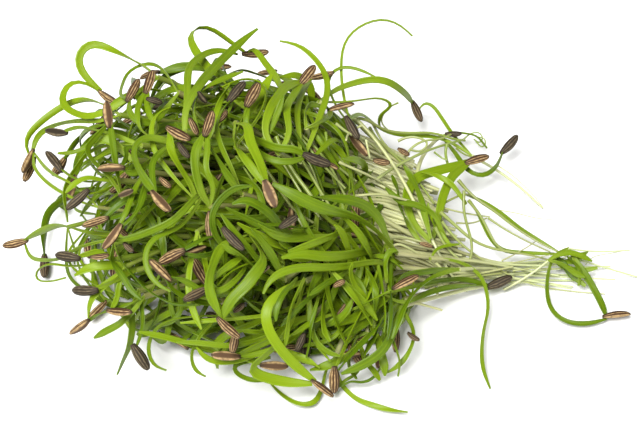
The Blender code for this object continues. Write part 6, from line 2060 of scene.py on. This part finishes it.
def web(whole, draw):
    """The strands of the web and those that show through a gap of the leaves."""
    made = []
    for key, run in whole.runs.items():
        if run["kind"] == "strand":
            route = fine_route(chain(whole, key), run, STEM_RINGS + 1)
            pale = PATCH_PALE
            if key.startswith("strand"):
                pale = WEB_STRANDS[int(key[-2:]) - 1][2:4]
            tint = draw.uniform(*STRAND_TINTS)
            made.append(fine_stem(masters()["stem"], key, route, 0.5 * run["width"], tint, pale))
    ride(joined("web_strands", made), "stem")


class CRESS_OT_inner(bpy.types.Operator):
    """Makes the sprouts and stems between and under the modelled ones"""

    bl_idname = "cress.inner"
    bl_label = "Inner sprouts"

    def execute(self, context):
        whole, necks = within()
        draw = np.random.default_rng(LOOK_SEED + 2)
        inner_leaves(whole, necks, draw)
        inner_stems(whole, draw)
        web(whole, draw)
        return {"FINISHED"}


class CRESS_OT_stage(bpy.types.Operator):
    """Makes the floor, the lights and the camera"""

    bl_idname = "cress.stage"
    bl_label = "Stage"

    def execute(self, context):
        scene = context.scene
        clear_selection()
        bpy.ops.mesh.primitive_plane_add(size=FLOOR_SIZE, location=(0.0, 0.0, 0.0))
        floor = bpy.context.object
        floor.name = "floor"
        bpy.ops.object.mode_set(mode="EDIT")
        bpy.ops.mesh.select_all(action="SELECT")
        bpy.ops.mesh.bevel(offset=FLOOR_CORNER, segments=6, affect="VERTICES")
        bpy.ops.object.mode_set(mode="OBJECT")
        floor.data.materials.append(floor_surface(scene.cress_colours))
        target = -BUNCH_MIDDLE * MM
        place = target + SIGHT_DISTANCE * MM * TO_VIEWER
        bpy.ops.object.camera_add(location=place, rotation=(math.pi / 2 - SIGHT_ELEVATION, 0.0, 0.0))
        camera = bpy.context.object
        camera.name = "camera"
        camera.data.sensor_width = SENSOR_WIDTH
        camera.data.lens = SENSOR_WIDTH * SIGHT_DISTANCE * POINTS_PER_MM / (2.0 * PICTURE_MIDDLE[0])
        scene.camera = camera
        for name, spot, size, power in LIGHTS:
            bpy.ops.object.light_add(type="AREA", location=spot)
            lamp = bpy.context.object
            lamp.name = name
            lamp.data.size = size
            lamp.data.energy = power
            aim = np.array(spot)
            lamp.rotation_euler = (
                math.atan2(math.hypot(aim[0], aim[1]), aim[2]), 0.0, math.atan2(aim[0], -aim[1]),
            )
        world = bpy.data.worlds.new("studio")
        world.use_nodes = True
        room = world.node_tree.nodes["Background"]
        room.inputs["Color"].default_value = (1.0, 1.0, 1.0, 1.0)
        room.inputs["Strength"].default_value = ROOM_LIGHT
        scene.world = world
        scene.view_settings.view_transform = "Standard"
        return {"FINISHED"}


class CRESS_PT_panel(bpy.types.Panel):
    """Lists the pieces in the sidebar"""

    bl_label = "Fennel cress"
    bl_idname = "CRESS_PT_panel"
    bl_space_type = "VIEW_3D"
    bl_region_type = "UI"
    bl_category = "Cress"

    def draw(self, context):
        for step in STEPS:
            self.layout.operator(step.bl_idname)
        for group in (context.scene.cress_sizes, context.scene.cress_colours):
            for name in group.bl_rna.properties.keys():
                if name not in ("rna_type", "name"):
                    self.layout.prop(group, name)


STEPS = (
    CRESS_OT_sprouts,
    CRESS_OT_stems,
    CRESS_OT_inner,
    CRESS_OT_stage,
)
CLASSES = (CressSizes, CressColours) + STEPS + (CRESS_PT_panel,)


def register():
    for made in CLASSES:
        bpy.utils.register_class(made)
    bpy.types.Scene.cress_sizes = bpy.props.PointerProperty(type=CressSizes)
    bpy.types.Scene.cress_colours = bpy.props.PointerProperty(type=CressColours)


def unregister():
    del bpy.types.Scene.cress_colours
    del bpy.types.Scene.cress_sizes
    for made in reversed(CLASSES):
        bpy.utils.unregister_class(made)


def main():
    """Makes each piece in turn."""
    register()
    bpy.ops.cress.sprouts()
    bpy.ops.cress.stems()
    bpy.ops.cress.inner()
    bpy.ops.cress.stage()
    for master in masters().values():
        bpy.data.objects.remove(master)


if __name__ == "__main__":
    main()
